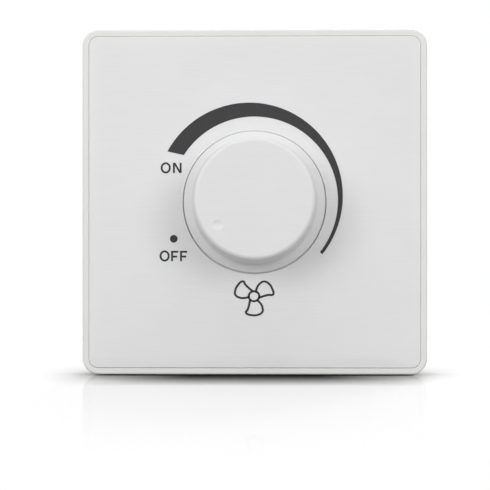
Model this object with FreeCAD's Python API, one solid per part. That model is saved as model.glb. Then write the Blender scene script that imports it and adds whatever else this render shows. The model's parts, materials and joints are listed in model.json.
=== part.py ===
import FreeCAD, Part
import math
import os

# Fan speed control switch: a square wall plate with one rotary knob.
# Millimetres. X to the right, Y into the wall, Z up; Y = 0 is the wall's surface.

# Frame and cover
plate_size = 86.0
plate_corner_radius = 4.2
rim_width = 1.57
rim_setback = 0.5
rim_draft = 0.25
rim_edge_radius = 0.5
rim_inner_chamfer = 0.08
inside_corner_radius = 0.3
frame_floor = 1.8
frame_recess = 1.2
rear_seat_width = 2.4
rib_width = 1.2
rib_offset = 14.0
wall_screw_spacing = 60.3
wall_screw_slot_radius = 2.2
wall_screw_slot_length = 8.0
screw_pad_margin = 3.2
cover_gap = 0.03
cover_wall = 2.0
cover_skirt_wall = 1.4
cover_edge_radius = 0.75
margin_width = 3.0
margin_drop = 0.3
margin_corner_radius = 5.0
dish_depth = 0.8
dish_floor = 2.3
dish_wall = 1.5
hook_width = 7.0
hook_thickness = 1.4
hook_reach = 0.8
hook_offset = 24.0
hook_inset = 2.2
hook_clearance = 0.15
hook_tip_gap = 0.25

# Knob
knob_height = 15.0
knob_skirt_radius = 17.56
knob_base_radius = 15.45
knob_top_radius = 14.35
knob_edge_radius = 1.1
knob_root_chamfer = 0.4
skirt_rise = 0.3
skirt_edge_chamfer = 0.2
skirt_root_rise = 1.1
knob_gap = 0.22
dish_drop_share = 0.7
skirt_clearance = 0.4
knob_wall = 1.8
knob_top_wall = 2.0
knob_boss_radius = 4.6
knob_rib_count = 4
knob_rib_width = 1.0
dimple_radius = 1.35
dimple_depth = 0.3
dimple_orbit = 10.6
dimple_angle = 216.0
travel_angle = 250.0

# Printed scale, measured about the knob's axis as seen from the front
ink_thickness = 0.06
scale_gap = 2.92
scale_mean_width = 2.4
scale_inner_shift = -0.07
scale_inner_lift = 0.43
scale_outer_shift = -1.28
scale_outer_lift = 1.47
wide_end_angle = 149.7
wide_end_reach = 1.6
wide_end_slope = -12.5
narrow_end_angle = -37.6
dot_radius = 0.95
dot_gap = 4.2
dot_angle = 204.5

# Potentiometer
shaft_radius = 3.0
shaft_flat_depth = 1.5
shaft_end_gap = 0.5
running_clearance = 0.05
bush_radius = 3.5
bush_plate = 1.2
bush_lead = 0.3
nut_across_flats = 10.0
nut_thickness = 2.0
washer_radius = 5.6
washer_thickness = 0.5
washer_split = 0.8
stack_clearance = 0.4
ring_radius = 4.0
ring_thickness = 0.8
ring_groove_radius = 2.3
ring_play = 0.1
ring_mouth = 3.6
collar_radius = 4.2
collar_thickness = 1.0
can_radius = 8.4
can_wall = 0.5
wafer_thickness = 1.2
wafer_tail_width = 14.0
wafer_tail_reach = 3.8
wiper_gap = 1.2
wiper_thickness = 0.3
wiper_width = 1.6
rotor_thickness = 2.2
rotor_gap = 1.0
lug_reach = 0.6
lug_angle = 30.0
stop_clearance_angle = 1.5
rotor_rear_gap = 0.6
drive_peg_radius = 0.9
drive_peg_orbit = 5.0
drive_peg_reach = 1.6
track_terminal_pitch = 5.0
track_terminal_half = 0.45
switch_terminal_half = 0.5
switch_terminal_offset = 4.0

# Circuit board and what stands on it
part_gap = 1.6
board_thickness = 1.6
board_margin = 1.0
board_clearance = 0.4
board_corner_radius = 1.5
component_headroom = 2.4
lead_half = 0.3
lead_clearance = 0.1
solder_reach = 1.0
triac_width = 10.0
triac_body_length = 9.2
triac_body_thickness = 3.1
triac_tab_length = 6.2
triac_tab_thickness = 1.3
triac_rise = 2.0
triac_lead_pitch = 2.54
triac_hole_radius = 1.85
heat_sink_thickness = 1.5
heat_sink_flange = 4.0
heat_sink_foot = 2.0
triac_screw_radius = 1.5
triac_screw_head_radius = 2.75
triac_screw_head_height = 2.0
triac_nut_flats = 5.5
triac_nut_thickness = 2.4
triac_screw_end = 0.8
choke_radius = 5.5
choke_height = 13.0
choke_flange = 1.5
choke_core_radius = 2.2
choke_winding_inset = 0.4
choke_fit = 0.05
snubber_width = 15.0
snubber_depth = 7.0
snubber_height = 13.0
timing_width = 10.0
timing_depth = 5.0
timing_height = 9.0
capacitor_edge_radius = 0.8
resistor_radius = 1.2
resistor_length = 6.3
resistor_pitch = 9.0
resistor_count = 3
diac_radius = 0.95
diac_length = 4.0
lead_bend = 1.0
body_lift = 0.3

# Rear housing, its screws and the wire terminals
housing_wall = 1.8
housing_corner_radius = 3.5
housing_edge_chamfer = 0.8
post_radius = 4.0
post_inset = 3.2
frame_boss_radius = 2.7
screw_radius = 1.45
screw_head_radius = 2.7
screw_head_height = 2.0
screw_head_sink = 2.4
screw_bite = 9.0
screw_fit = 0.05
screw_pass = 0.2
screw_cross_depth = 1.0
vent_width = 1.6
vent_pitch = 4.0
top_vent_count = 7
rear_vent_count = 4
vent_border = 5.0
terminal_pitch = 9.0
pillar_width = 6.0
pillar_depth = 7.6
pillar_height = 7.4
pillar_pin_half = 0.45
pillar_fit = 0.1
wire_bore_radius = 1.9
block_wall = 0.8
block_base = 1.0
terminal_screw_radius = 1.6
terminal_screw_head_radius = 2.3
terminal_screw_head_height = 1.6
terminal_screw_lift = 0.6
driver_slot_width = 0.8
driver_slot_depth = 0.8
notch_clearance = 0.4

# Depths, front to back
floor_rear_y = -frame_recess
floor_front_y = floor_rear_y - frame_floor
washer_front_y = floor_front_y - washer_thickness
nut_front_y = washer_front_y - nut_thickness
dish_rear_y = nut_front_y - stack_clearance
dish_front_y = dish_rear_y - dish_floor
cover_face_y = dish_front_y - dish_depth
cover_inner_y = cover_face_y + cover_wall
rim_front_y = cover_face_y + rim_setback
skirt_rear_y = dish_front_y - skirt_clearance
knob_front_y = cover_face_y - knob_height
knob_cavity_y = knob_front_y + knob_top_wall
shaft_front_y = knob_cavity_y + shaft_end_gap
bush_front_y = nut_front_y - bush_lead
ring_rear_y = bush_front_y - ring_play
ring_front_y = ring_rear_y - ring_thickness
knob_boss_rear_y = min(skirt_rear_y, ring_front_y - stack_clearance)
bush_rear_y = floor_rear_y + bush_plate
wafer_rear_y = bush_rear_y + wafer_thickness
rotor_front_y = wafer_rear_y + wiper_gap
rotor_rear_y = rotor_front_y + rotor_thickness
can_inner_rear_y = rotor_rear_y + rotor_rear_gap
can_rear_y = can_inner_rear_y + can_wall
triac_length = triac_body_length + triac_tab_length
tallest_part = max(triac_rise + triac_length, choke_height, snubber_height, timing_height)
board_front_y = floor_rear_y + component_headroom + tallest_part
board_rear_y = board_front_y + board_thickness
solder_y = board_rear_y + solder_reach
pillar_front_y = board_rear_y + block_base
pillar_rear_y = pillar_front_y + pillar_depth
terminal_head_y = pillar_rear_y + terminal_screw_lift + terminal_screw_head_height
block_rear_y = terminal_head_y + stack_clearance
housing_inner_y = block_rear_y + board_clearance
housing_rear_y = housing_inner_y + housing_wall
screw_seat_y = housing_rear_y - screw_head_sink
wire_bore_y = pillar_front_y + pillar_width / 2

# Widths and heights
plate_front_size = plate_size - 2 * rim_draft
front_corner_radius = plate_corner_radius - rim_draft
cover_opening = plate_front_size - 2 * rim_width
cover_size = cover_opening - 2 * cover_gap
cover_corner_radius = front_corner_radius - rim_width - cover_gap
dish_radius = knob_skirt_radius + knob_gap
dish_drop = knob_gap * dish_drop_share
dish_hole_radius = ring_radius + stack_clearance
can_inner_radius = can_radius - can_wall
rotor_radius = can_inner_radius - rotor_gap
triac_x = can_radius + part_gap
tab_front_x = triac_x + triac_body_thickness
heat_sink_x = tab_front_x + triac_tab_thickness
heat_sink_back_x = heat_sink_x + heat_sink_thickness
triac_screw_end_x = heat_sink_back_x + triac_nut_thickness + triac_screw_end
choke_x = -(can_radius + part_gap + choke_radius)
snubber_z = can_radius + part_gap + snubber_depth / 2
resistor_z = snubber_z + snubber_depth / 2 + board_margin + resistor_radius
sink_flange_x = heat_sink_back_x + heat_sink_flange
board_half_width = max(triac_screw_end_x, sink_flange_x, choke_radius - choke_x) + board_margin
board_half_height = resistor_z + resistor_radius + board_margin
post_x = board_half_width - post_inset
post_z = board_half_height - post_inset
clear_z = post_z - frame_boss_radius - board_margin
choke_z = clear_z - choke_radius
timing_x = -(can_radius + part_gap + timing_depth / 2)
timing_z = choke_z - choke_radius - part_gap - timing_width / 2
diac_x = triac_x + diac_radius
diac_z = -(triac_width / 2 + part_gap + diac_length / 2 + lead_bend)
tail_z = -(can_radius + wafer_tail_reach)
track_terminal_z = -(can_radius + wafer_tail_reach / 2)
housing_half_width = board_half_width + board_clearance + housing_wall
housing_half_height = board_half_height + board_clearance + housing_wall
block_half_width = terminal_pitch / 2 + pillar_width / 2 + pillar_fit + block_wall
block_height = pillar_height + pillar_fit + block_wall
block_bottom_z = -board_half_height
pillar_z = block_bottom_z + pillar_height / 2

V = FreeCAD.Vector
BACK = V(0, 1, 0)
RIGHT = V(1, 0, 0)
UP = V(0, 0, 1)
OVERCUT = 1.0
SAME = 1e-6


def polar(radius, angle, y=0.0):
    """Point at an angle about the knob's axis, anticlockwise as seen from the front."""
    turn = math.radians(angle)
    return V(radius * math.cos(turn), y, radius * math.sin(turn))


def block(x_span, y_span, z_span):
    """Box between two limits on each axis."""
    size = [span[1] - span[0] for span in (x_span, y_span, z_span)]
    return Part.makeBox(*size, V(x_span[0], y_span[0], z_span[0]))


def rod(radius, y_span, x=0.0, z=0.0):
    """Cylinder that runs front to back."""
    return Part.makeCylinder(radius, y_span[1] - y_span[0], V(x, y_span[0], z), BACK)


def pin(half, y_span, x, z):
    """Square pin or punched hole that runs front to back."""
    return block((x - half, x + half), y_span, (z - half, z + half))


def washer_shape(outer, inner, y_span, x=0.0, z=0.0):
    """Flat ring that faces the front."""
    return rod(outer, y_span, x, z).cut(rod(inner, y_span, x, z))


def rounded_outline(width, height, radius, y):
    """Outline of a rounded rectangle at one depth."""
    arcs = []
    for side_x, side_z, start in ((1, 1, 0), (-1, 1, 90), (-1, -1, 180), (1, -1, 270)):
        centre = V(side_x * (width / 2 - radius), y, side_z * (height / 2 - radius))
        arcs.append([centre + polar(radius, start + turn) for turn in (0, 45, 90)])
    edges = []
    for index, (first, middle, last) in enumerate(arcs):
        edges.append(Part.Arc(first, middle, last).toShape())
        edges.append(Part.makeLine(last, arcs[(index + 1) % 4][0]))
    return Part.Wire(edges)


def slab(width, height, radius, y_span):
    """Rounded rectangle with a thickness from front to back."""
    face = Part.Face(rounded_outline(width, height, radius, y_span[0]))
    return face.extrude(V(0, y_span[1] - y_span[0], 0))


def prism(points, depth):
    """Closed polygon pushed along a vector."""
    return Part.Face(Part.makePolygon(points + points[:1])).extrude(depth)


def hexagon(across_flats, centre, axis, across, height):
    """Six-sided nut blank, its flats square to the second direction."""
    corner = across_flats / math.sqrt(3)
    side = axis.cross(across)
    points = []
    for index in range(6):
        turn = math.radians(60 * index + 30)
        points.append(centre + across * (corner * math.cos(turn)) + side * (corner * math.sin(turn)))
    return prism(points, axis * height)


def turned(profile):
    """Solid of revolution about the knob's axis from (radius, depth) points."""
    points = [V(radius, y, 0) for radius, y in profile]
    face = Part.Face(Part.makePolygon(points + points[:1]))
    return face.revolve(V(0, 0, 0), BACK, 360)


def sector(radius_span, y_span, start, sweep):
    """Piece of a ring between two angles."""
    ring = washer_shape(radius_span[1], radius_span[0], y_span)
    step = sweep / 4
    reach = 2 * radius_span[1]
    fan = [V(0, y_span[0], 0)] + [polar(reach, start + step * index, y_span[0]) for index in range(5)]
    return ring.common(prism(fan, BACK * (y_span[1] - y_span[0])))


def circle_edges(shape, radius, y):
    """Round edges about the knob's axis with a given radius and depth."""
    found = []
    for edge in shape.Edges:
        round_edge = isinstance(edge.Curve, Part.Circle)
        if round_edge and abs(edge.Curve.Radius - radius) < SAME and abs(edge.Curve.Center.y - y) < SAME:
            found.append(edge)
    return found


def edges_at(shape, y):
    """Edges that lie wholly at one depth."""
    box_pairs = [(edge, edge.BoundBox) for edge in shape.Edges]
    return [edge for edge, box in box_pairs if abs(box.YMin - y) < SAME and abs(box.YMax - y) < SAME]


def fused(first, *others):
    """One clean solid from pieces that share material."""
    return first.fuse(list(others)).removeSplitter()


def corner_places():
    """Centres of the four screw posts."""
    return [(x, z) for x in (-post_x, post_x) for z in (-post_z, post_z)]


def row(count, pitch):
    """Evenly spaced places centred on zero."""
    return [pitch * (index - (count - 1) / 2) for index in range(count)]


def hook_profile(side):
    """Snap hook of the cover at the top (side 1) or bottom (side -1), seen along X."""
    outer = cover_size / 2 - cover_skirt_wall - hook_inset
    inner = outer - hook_thickness
    tip_y = -hook_tip_gap
    catch_y = floor_rear_y + running_clearance
    points = [
        (inner, cover_inner_y - cover_wall / 2),
        (inner, tip_y),
        (outer, tip_y),
        (outer + hook_reach, catch_y),
        (outer, catch_y),
        (outer, cover_inner_y - cover_wall / 2),
    ]
    return [V(0, y, side * z) for z, y in points]


def make_mounting_frame():
    """Moulded frame: drafted rim, floor, rear ribs, screw pads, hook slots and four bosses."""
    rim = Part.makeLoft(
        [
            rounded_outline(plate_size, plate_size, plate_corner_radius, 0),
            rounded_outline(plate_front_size, plate_front_size, front_corner_radius, rim_front_y),
        ],
        True,
        True,
    )
    rim = rim.makeFillet(rim_edge_radius, edges_at(rim, rim_front_y))
    opening_radius = cover_corner_radius + cover_gap
    opening = slab(cover_opening, cover_opening, opening_radius, (rim_front_y - OVERCUT, floor_front_y))
    mouth_size = cover_opening + 2 * rim_inner_chamfer
    mouth = Part.makeLoft(
        [
            rounded_outline(mouth_size, mouth_size, opening_radius + rim_inner_chamfer, rim_front_y),
            rounded_outline(cover_opening, cover_opening, opening_radius, rim_front_y + rim_inner_chamfer),
        ],
        True,
        True,
    )
    frame = rim.cut(opening).cut(mouth)
    recess_size = plate_size - 2 * rear_seat_width
    recess_radius = max(plate_corner_radius - rear_seat_width, inside_corner_radius)
    frame = frame.cut(slab(recess_size, recess_size, recess_radius, (floor_rear_y, OVERCUT)))

    added = []
    half_rib = rib_width / 2
    recess_half = recess_size / 2
    rib_y = (floor_rear_y, 0)
    rib_start_x = housing_half_width + board_clearance
    rib_start_z = housing_half_height + board_clearance
    for offset in (-rib_offset, rib_offset):
        across = (offset - half_rib, offset + half_rib)
        for side in (-1, 1):
            x_run = sorted((side * rib_start_x, side * recess_half))
            z_run = sorted((side * rib_start_z, side * recess_half))
            added.append(block(x_run, rib_y, across))
            added.append(block(across, rib_y, z_run))
    pad_radius = wall_screw_slot_radius + screw_pad_margin
    pad_run = wall_screw_slot_length / 2 - wall_screw_slot_radius
    for side in (-1, 1):
        centre = side * wall_screw_spacing / 2
        outer_run = sorted((centre, side * recess_half))
        added.append(block(outer_run, rib_y, (-pad_radius, pad_radius)))
        added.append(rod(pad_radius, rib_y, centre))
    for x, z in corner_places():
        added.append(rod(frame_boss_radius, (floor_rear_y, board_front_y), x, z))
    frame = fused(frame, *added)

    bush_hole = rod(bush_radius + running_clearance, (floor_front_y - OVERCUT, floor_rear_y + OVERCUT))
    frame = frame.cut(bush_hole)
    slot_y = (floor_front_y - OVERCUT, OVERCUT)
    housing_room = slab(
        2 * (housing_half_width + board_clearance),
        2 * (housing_half_height + board_clearance),
        housing_corner_radius + board_clearance,
        (floor_rear_y, OVERCUT),
    )
    for side in (-1, 1):
        centre = side * wall_screw_spacing / 2
        frame = frame.cut(rod(wall_screw_slot_radius, slot_y, centre - pad_run))
        frame = frame.cut(rod(wall_screw_slot_radius, slot_y, centre + pad_run))
        run = (centre - pad_run, centre + pad_run)
        frame = frame.cut(block(run, slot_y, (-wall_screw_slot_radius, wall_screw_slot_radius)))
    bosses = [rod(frame_boss_radius, (floor_rear_y, OVERCUT), x, z) for x, z in corner_places()]
    frame = frame.cut(housing_room.cut(bosses))
    for x, z in corner_places():
        pilot_y = (board_front_y - screw_bite - stack_clearance, board_front_y + OVERCUT)
        frame = frame.cut(rod(screw_radius + screw_fit, pilot_y, x, z))
    outer = cover_size / 2 - cover_skirt_wall - hook_inset
    for x in (-hook_offset, hook_offset):
        half = hook_width / 2 + hook_clearance
        for side in (-1, 1):
            z_run = sorted((side * (outer - hook_thickness - hook_reach), side * (outer + hook_clearance)))
            frame = frame.cut(block((x - half, x + half), (floor_front_y - OVERCUT, floor_rear_y), z_run))
    return frame.removeSplitter()


def make_front_cover():
    """Inset face with a falling margin, a skirt, the knob's dish and four snap hooks."""
    shell = slab(cover_size, cover_size, cover_corner_radius, (cover_face_y, floor_front_y))
    shell = shell.makeFillet(cover_edge_radius, edges_at(shell, cover_face_y))
    flat_size = cover_size - 2 * margin_width
    low_y = cover_face_y + margin_drop * (margin_width + OVERCUT) / margin_width
    wide_size = cover_size + 2 * OVERCUT
    wide_radius = cover_corner_radius + OVERCUT
    crown = Part.makeLoft(
        [
            rounded_outline(flat_size, flat_size, margin_corner_radius, cover_face_y),
            rounded_outline(wide_size, wide_size, wide_radius, low_y),
        ],
        True,
        True,
    )
    crown = fused(crown, slab(wide_size, wide_size, wide_radius, (low_y, floor_front_y)))
    shell = shell.common(crown)

    inside_size = cover_size - 2 * cover_skirt_wall
    inside_radius = max(cover_corner_radius - cover_skirt_wall, inside_corner_radius)
    inside_y = (cover_inner_y, floor_front_y + OVERCUT)
    shell = shell.cut(slab(inside_size, inside_size, inside_radius, inside_y))
    cup = rod(dish_radius + dish_wall, (cover_inner_y - cover_wall / 2, dish_rear_y))
    hooks = []
    for x in (-hook_offset, hook_offset):
        for side in (-1, 1):
            hook = prism(hook_profile(side), RIGHT * hook_width)
            hook.translate(V(x - hook_width / 2, 0, 0))
            hooks.append(hook)
    shell = fused(shell, cup, *hooks)
    shell = shell.cut(rod(dish_radius, (cover_face_y - OVERCUT, dish_front_y), 0, -dish_drop))
    shell = shell.cut(rod(dish_hole_radius, (dish_front_y - OVERCUT, dish_rear_y + OVERCUT)))
    return shell.removeSplitter()


def make_speed_scale_print():
    """Ink: a crescent between two off-centre arcs, cut at both ends, and the OFF dot."""
    ink_y = (cover_face_y - ink_thickness, cover_face_y)
    depth = BACK * ink_thickness
    inner_radius = dish_radius + scale_gap
    outer_radius = inner_radius + scale_mean_width
    crescent = rod(outer_radius, ink_y, scale_outer_shift, scale_outer_lift)
    crescent = crescent.cut(rod(inner_radius, ink_y, scale_inner_shift, scale_inner_lift))
    far = 2 * outer_radius
    wide_corner = polar(outer_radius + wide_end_reach, wide_end_angle, ink_y[0])
    along_cut = polar(outer_radius / 2, wide_end_slope)
    kept = [
        V(0, ink_y[0], 0),
        polar(far, narrow_end_angle, ink_y[0]),
        V(far, ink_y[0], far),
        V(-far, ink_y[0], far),
        wide_corner - along_cut,
        wide_corner + along_cut,
    ]
    crescent = crescent.common(prism(kept, depth))
    place = polar(dish_radius + dot_gap, dot_angle)
    return Part.makeCompound([crescent, rod(dot_radius, ink_y, place.x, place.z)])


def shaft_section(radius, y_span):
    """Round shaft with its driving flat, in the knob's resting position."""
    flat_half = 2 * radius
    flat = block((-flat_half, flat_half), y_span, (radius - shaft_flat_depth, flat_half))
    return rod(radius, y_span).cut(flat)


def make_knob():
    """Hollow moulded knob: tapered grip on a low skirt, boss with a flatted bore, ribs and a dimple."""
    skirt_y = cover_face_y - skirt_rise
    root_y = cover_face_y - skirt_root_rise
    body = turned(
        [
            (0, skirt_rear_y),
            (knob_skirt_radius, skirt_rear_y),
            (knob_skirt_radius, skirt_y + skirt_edge_chamfer),
            (knob_skirt_radius - skirt_edge_chamfer, skirt_y),
            (knob_base_radius + knob_root_chamfer, root_y),
            (knob_base_radius, root_y - knob_root_chamfer),
            (knob_top_radius, knob_front_y),
            (0, knob_front_y),
        ]
    )
    body = body.makeFillet(knob_edge_radius, circle_edges(body, knob_top_radius, knob_front_y))
    cavity = turned(
        [
            (knob_boss_radius, skirt_rear_y + OVERCUT),
            (knob_base_radius - knob_wall, skirt_rear_y + OVERCUT),
            (knob_base_radius - knob_wall, root_y),
            (knob_top_radius - knob_wall, knob_cavity_y),
            (knob_boss_radius, knob_cavity_y),
        ]
    )
    rib_reach = knob_base_radius - knob_wall / 2
    rib_y = (knob_cavity_y - OVERCUT, skirt_rear_y - OVERCUT)
    half_rib = knob_rib_width / 2
    for index in range(knob_rib_count):
        rib = block((0, rib_reach), rib_y, (-half_rib, half_rib))
        rib.rotate(V(0, 0, 0), BACK, 360 * index / knob_rib_count)
        cavity = cavity.cut(rib)
    body = body.cut(cavity)
    boss_end = rod(knob_boss_radius + OVERCUT, (knob_boss_rear_y, skirt_rear_y + OVERCUT))
    body = body.cut(boss_end)
    bore_y = (knob_cavity_y, skirt_rear_y + OVERCUT)
    body = body.cut(shaft_section(shaft_radius + running_clearance, bore_y))
    ball_radius = (dimple_radius**2 + dimple_depth**2) / (2 * dimple_depth)
    ball_centre = polar(dimple_orbit, dimple_angle, knob_front_y - ball_radius + dimple_depth)
    body = body.cut(Part.makeSphere(ball_radius, ball_centre))
    return body.removeSplitter()


def make_pot_shaft():
    """Shaft with a flatted front half, a groove for its ring and a collar behind the bush."""
    flat_rear_y = knob_boss_rear_y + stack_clearance / 2
    shaft = fused(
        shaft_section(shaft_radius, (shaft_front_y, flat_rear_y)),
        rod(shaft_radius, (flat_rear_y, rotor_rear_y)),
        rod(collar_radius, (bush_rear_y + ring_play, bush_rear_y + ring_play + collar_thickness)),
    )
    groove_y = (ring_front_y - ring_play, ring_rear_y)
    groove = washer_shape(shaft_radius + OVERCUT, ring_groove_radius, groove_y)
    return shaft.cut(groove)


def make_shaft_ring():
    """Open steel ring that snaps into the shaft's groove in front of the bush."""
    ring_y = (ring_front_y, ring_rear_y)
    ring = washer_shape(ring_radius, ring_groove_radius + running_clearance, ring_y)
    half = ring_mouth / 2
    return ring.cut(block((-half, half), ring_y, (-2 * ring_radius, 0)))


def make_pot_bush():
    """Threaded bush in one piece with the plate that closes the front of the can."""
    bush = fused(
        rod(bush_radius, (bush_front_y, bush_rear_y)),
        rod(can_radius, (floor_rear_y, bush_rear_y)),
    )
    return bush.cut(rod(shaft_radius + running_clearance, (bush_front_y, bush_rear_y)))


def make_pot_lock_washer():
    """Split spring washer under the nut."""
    washer_y = (washer_front_y, floor_front_y)
    washer = washer_shape(washer_radius, bush_radius + running_clearance, washer_y)
    half = washer_split / 2
    return washer.cut(block((-half, half), washer_y, (0, 2 * washer_radius)))


def make_pot_nut():
    """Thin hexagon nut with its front corners turned off."""
    blank = hexagon(nut_across_flats, V(0, nut_front_y, 0), BACK, RIGHT, nut_thickness)
    corner = nut_across_flats / math.sqrt(3)
    flat = nut_across_flats / 2
    chamfer = corner - flat
    trim = turned(
        [
            (0, nut_front_y),
            (flat, nut_front_y),
            (corner, nut_front_y + chamfer),
            (corner, washer_front_y),
            (0, washer_front_y),
        ]
    )
    return blank.common(trim).cut(rod(bush_radius + running_clearance, (nut_front_y, washer_front_y)))


def make_pot_can():
    """Pressed steel cup with a notch for the wafer's tail and an inward stop for the rotor."""
    can = rod(can_radius, (bush_rear_y, can_rear_y))
    can = can.cut(rod(can_inner_radius, (bush_rear_y, can_inner_rear_y)))
    opening = drive_peg_orbit + drive_peg_radius + stack_clearance
    can = can.cut(rod(opening, (can_inner_rear_y, can_rear_y)))
    stop_sweep = 360 - travel_angle - lug_angle - 2 * stop_clearance_angle
    stop_start = dimple_angle + lug_angle / 2 + stop_clearance_angle
    stop_inner = rotor_radius + rotor_gap - lug_reach - stack_clearance / 2
    stop_y = (rotor_front_y, can_inner_rear_y)
    can = fused(can, sector((stop_inner, can_inner_radius + can_wall / 2), stop_y, stop_start, stop_sweep))
    half = wafer_tail_width / 2 + lead_clearance
    notch_y = (bush_rear_y, wafer_rear_y + lead_clearance)
    return can.cut(block((-half, half), notch_y, (-2 * can_radius, -can_inner_radius / 2)))


def make_track_wafer():
    """Laminate disc that carries the carbon track, with a tail for its terminals."""
    wafer_y = (bush_rear_y, wafer_rear_y)
    disc = rod(can_inner_radius - lead_clearance, wafer_y)
    half = wafer_tail_width / 2
    wafer = fused(disc, block((-half, half), wafer_y, (tail_z, -can_inner_radius / 2)))
    return wafer.cut(rod(collar_radius + stack_clearance, wafer_y))


def make_track_terminals():
    """Three pins from the wafer's tail through the board."""
    pin_y = (wafer_rear_y, solder_y)
    pins = [pin(track_terminal_half, pin_y, x, track_terminal_z) for x in row(3, track_terminal_pitch)]
    return Part.makeCompound(pins)


def make_pot_rotor():
    """Moulded rotor with a stop lug on its edge and a peg that throws the snap switch."""
    rotor_y = (rotor_front_y, rotor_rear_y)
    lug_outer = can_inner_radius - rotor_gap + lug_reach
    peg = polar(drive_peg_orbit, dimple_angle)
    rotor = fused(
        rod(rotor_radius, rotor_y),
        sector((rotor_radius / 2, lug_outer), rotor_y, dimple_angle - lug_angle / 2, lug_angle),
        rod(drive_peg_radius, (rotor_front_y, can_rear_y + drive_peg_reach), peg.x, peg.z),
    )
    return rotor.cut(rod(shaft_radius + running_clearance, rotor_y))


def make_wiper():
    """Spring contact: a flat ring on the rotor with a bent finger that reaches the track."""
    ring_y = (rotor_front_y - wiper_thickness, rotor_front_y)
    ring_outer = (shaft_radius + rotor_radius) / 2
    ring = washer_shape(ring_outer, shaft_radius + stack_clearance, ring_y)
    half = wiper_width / 2
    tip_y = wafer_rear_y + running_clearance
    finger_run = (shaft_radius + stack_clearance + wiper_thickness, rotor_radius - wiper_thickness)
    arm = block(finger_run, ring_y, (-half, half))
    tip_run = (finger_run[1] - wiper_thickness, finger_run[1])
    tip = block(tip_run, (tip_y, rotor_front_y), (-half, half))
    finger = fused(arm, tip)
    finger.rotate(V(0, 0, 0), BACK, -dimple_angle)
    return fused(ring, finger)


def make_switch_case():
    """Round moulded case of the snap switch, hollowed in front for the rotor's peg."""
    case = rod(can_radius, (can_rear_y, board_front_y))
    recess = drive_peg_orbit + drive_peg_radius + stack_clearance
    recess_rear_y = can_rear_y + drive_peg_reach + stack_clearance
    return case.cut(rod(recess, (can_rear_y, recess_rear_y)))


def make_switch_terminals():
    """Two pins from the switch case through the board."""
    pin_y = (board_front_y, solder_y)
    places = (-switch_terminal_offset, switch_terminal_offset)
    pins = [pin(switch_terminal_half, pin_y, x, switch_terminal_offset) for x in places]
    return Part.makeCompound(pins)


def triac_hole_y():
    """Depth of the hole in the triac's tab."""
    return board_front_y - triac_rise - triac_length + triac_tab_length / 2


def make_triac_body():
    """Moulded block of the power triac."""
    rear_y = board_front_y - triac_rise
    half = triac_width / 2
    body = block((triac_x, tab_front_x), (rear_y - triac_body_length, rear_y), (-half, half))
    chamfer = triac_body_thickness / 3
    front_edges = []
    for edge in body.Edges:
        box = edge.BoundBox
        if box.XMax < triac_x + SAME and box.YLength < SAME:
            front_edges.append(edge)
    return body.makeChamfer(chamfer, front_edges)


def make_triac_tab():
    """Tinned copper plate behind the triac's body, with its screw hole."""
    rear_y = board_front_y - triac_rise
    half = triac_width / 2
    tab = block((tab_front_x, heat_sink_x), (rear_y - triac_length, rear_y), (-half, half))
    hole = Part.makeCylinder(
        triac_hole_radius, triac_tab_thickness, V(tab_front_x, triac_hole_y(), 0), RIGHT
    )
    return tab.cut(hole)


def triac_lead_x():
    """Line of the triac's three legs."""
    return triac_x + triac_body_thickness / 2


def make_triac_leads():
    """Three legs from the triac through the board."""
    lead_y = (board_front_y - triac_rise, solder_y)
    places = row(3, triac_lead_pitch)
    return Part.makeCompound([pin(lead_half, lead_y, triac_lead_x(), z) for z in places])


def heat_sink_feet():
    """Places of the heat sink's two solder feet."""
    return (-clear_z / 2, clear_z / 2)


def make_heat_sink():
    """Bent aluminium plate with a front flange and two feet in the board."""
    front_y = board_front_y - triac_rise - triac_length
    plate_x = (heat_sink_x, heat_sink_back_x)
    plate = block(plate_x, (front_y, board_front_y), (-clear_z, clear_z))
    flange_y = (front_y, front_y + heat_sink_thickness)
    flange = block((heat_sink_x, sink_flange_x), flange_y, (-clear_z, clear_z))
    half = heat_sink_foot / 2
    feet = [block(plate_x, (board_front_y, solder_y), (z - half, z + half)) for z in heat_sink_feet()]
    sink = fused(plate, flange, *feet)
    hole_x = V(heat_sink_x, triac_hole_y(), 0)
    sink = sink.cut(Part.makeCylinder(triac_hole_radius, heat_sink_thickness, hole_x, RIGHT))
    nut_room = triac_nut_flats / math.sqrt(3) + stack_clearance
    room = block((heat_sink_back_x, sink_flange_x), flange_y, (-nut_room, nut_room))
    return sink.cut(room)


def make_triac_screw():
    """Pan-head screw that clamps the triac to the heat sink."""
    start = V(tab_front_x, triac_hole_y(), 0)
    head_start = start - RIGHT * triac_screw_head_height
    head = Part.makeCylinder(triac_screw_head_radius, triac_screw_head_height, head_start, RIGHT)
    shank = Part.makeCylinder(triac_screw_radius, triac_screw_end_x - tab_front_x, start, RIGHT)
    slot_x = (head_start.x, head_start.x + driver_slot_depth)
    half = driver_slot_width / 2
    reach = 2 * triac_screw_head_radius
    slot_y = (triac_hole_y() - reach, triac_hole_y() + reach)
    return fused(head, shank).cut(block(slot_x, slot_y, (-half, half)))


def make_triac_nut():
    """Hexagon nut behind the heat sink."""
    start = V(heat_sink_back_x, triac_hole_y(), 0)
    blank = hexagon(triac_nut_flats, start, RIGHT, UP, triac_nut_thickness)
    hole_radius = triac_screw_radius + running_clearance
    return blank.cut(Part.makeCylinder(hole_radius, triac_nut_thickness, start, RIGHT))


def make_choke_core():
    """Ferrite drum core that stands on the board."""
    front_y = board_front_y - choke_height
    waist_y = (front_y + choke_flange, board_front_y - choke_flange)
    drum = rod(choke_radius, (front_y, board_front_y), choke_x, choke_z)
    return drum.cut(washer_shape(2 * choke_radius, choke_core_radius, waist_y, choke_x, choke_z))


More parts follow.
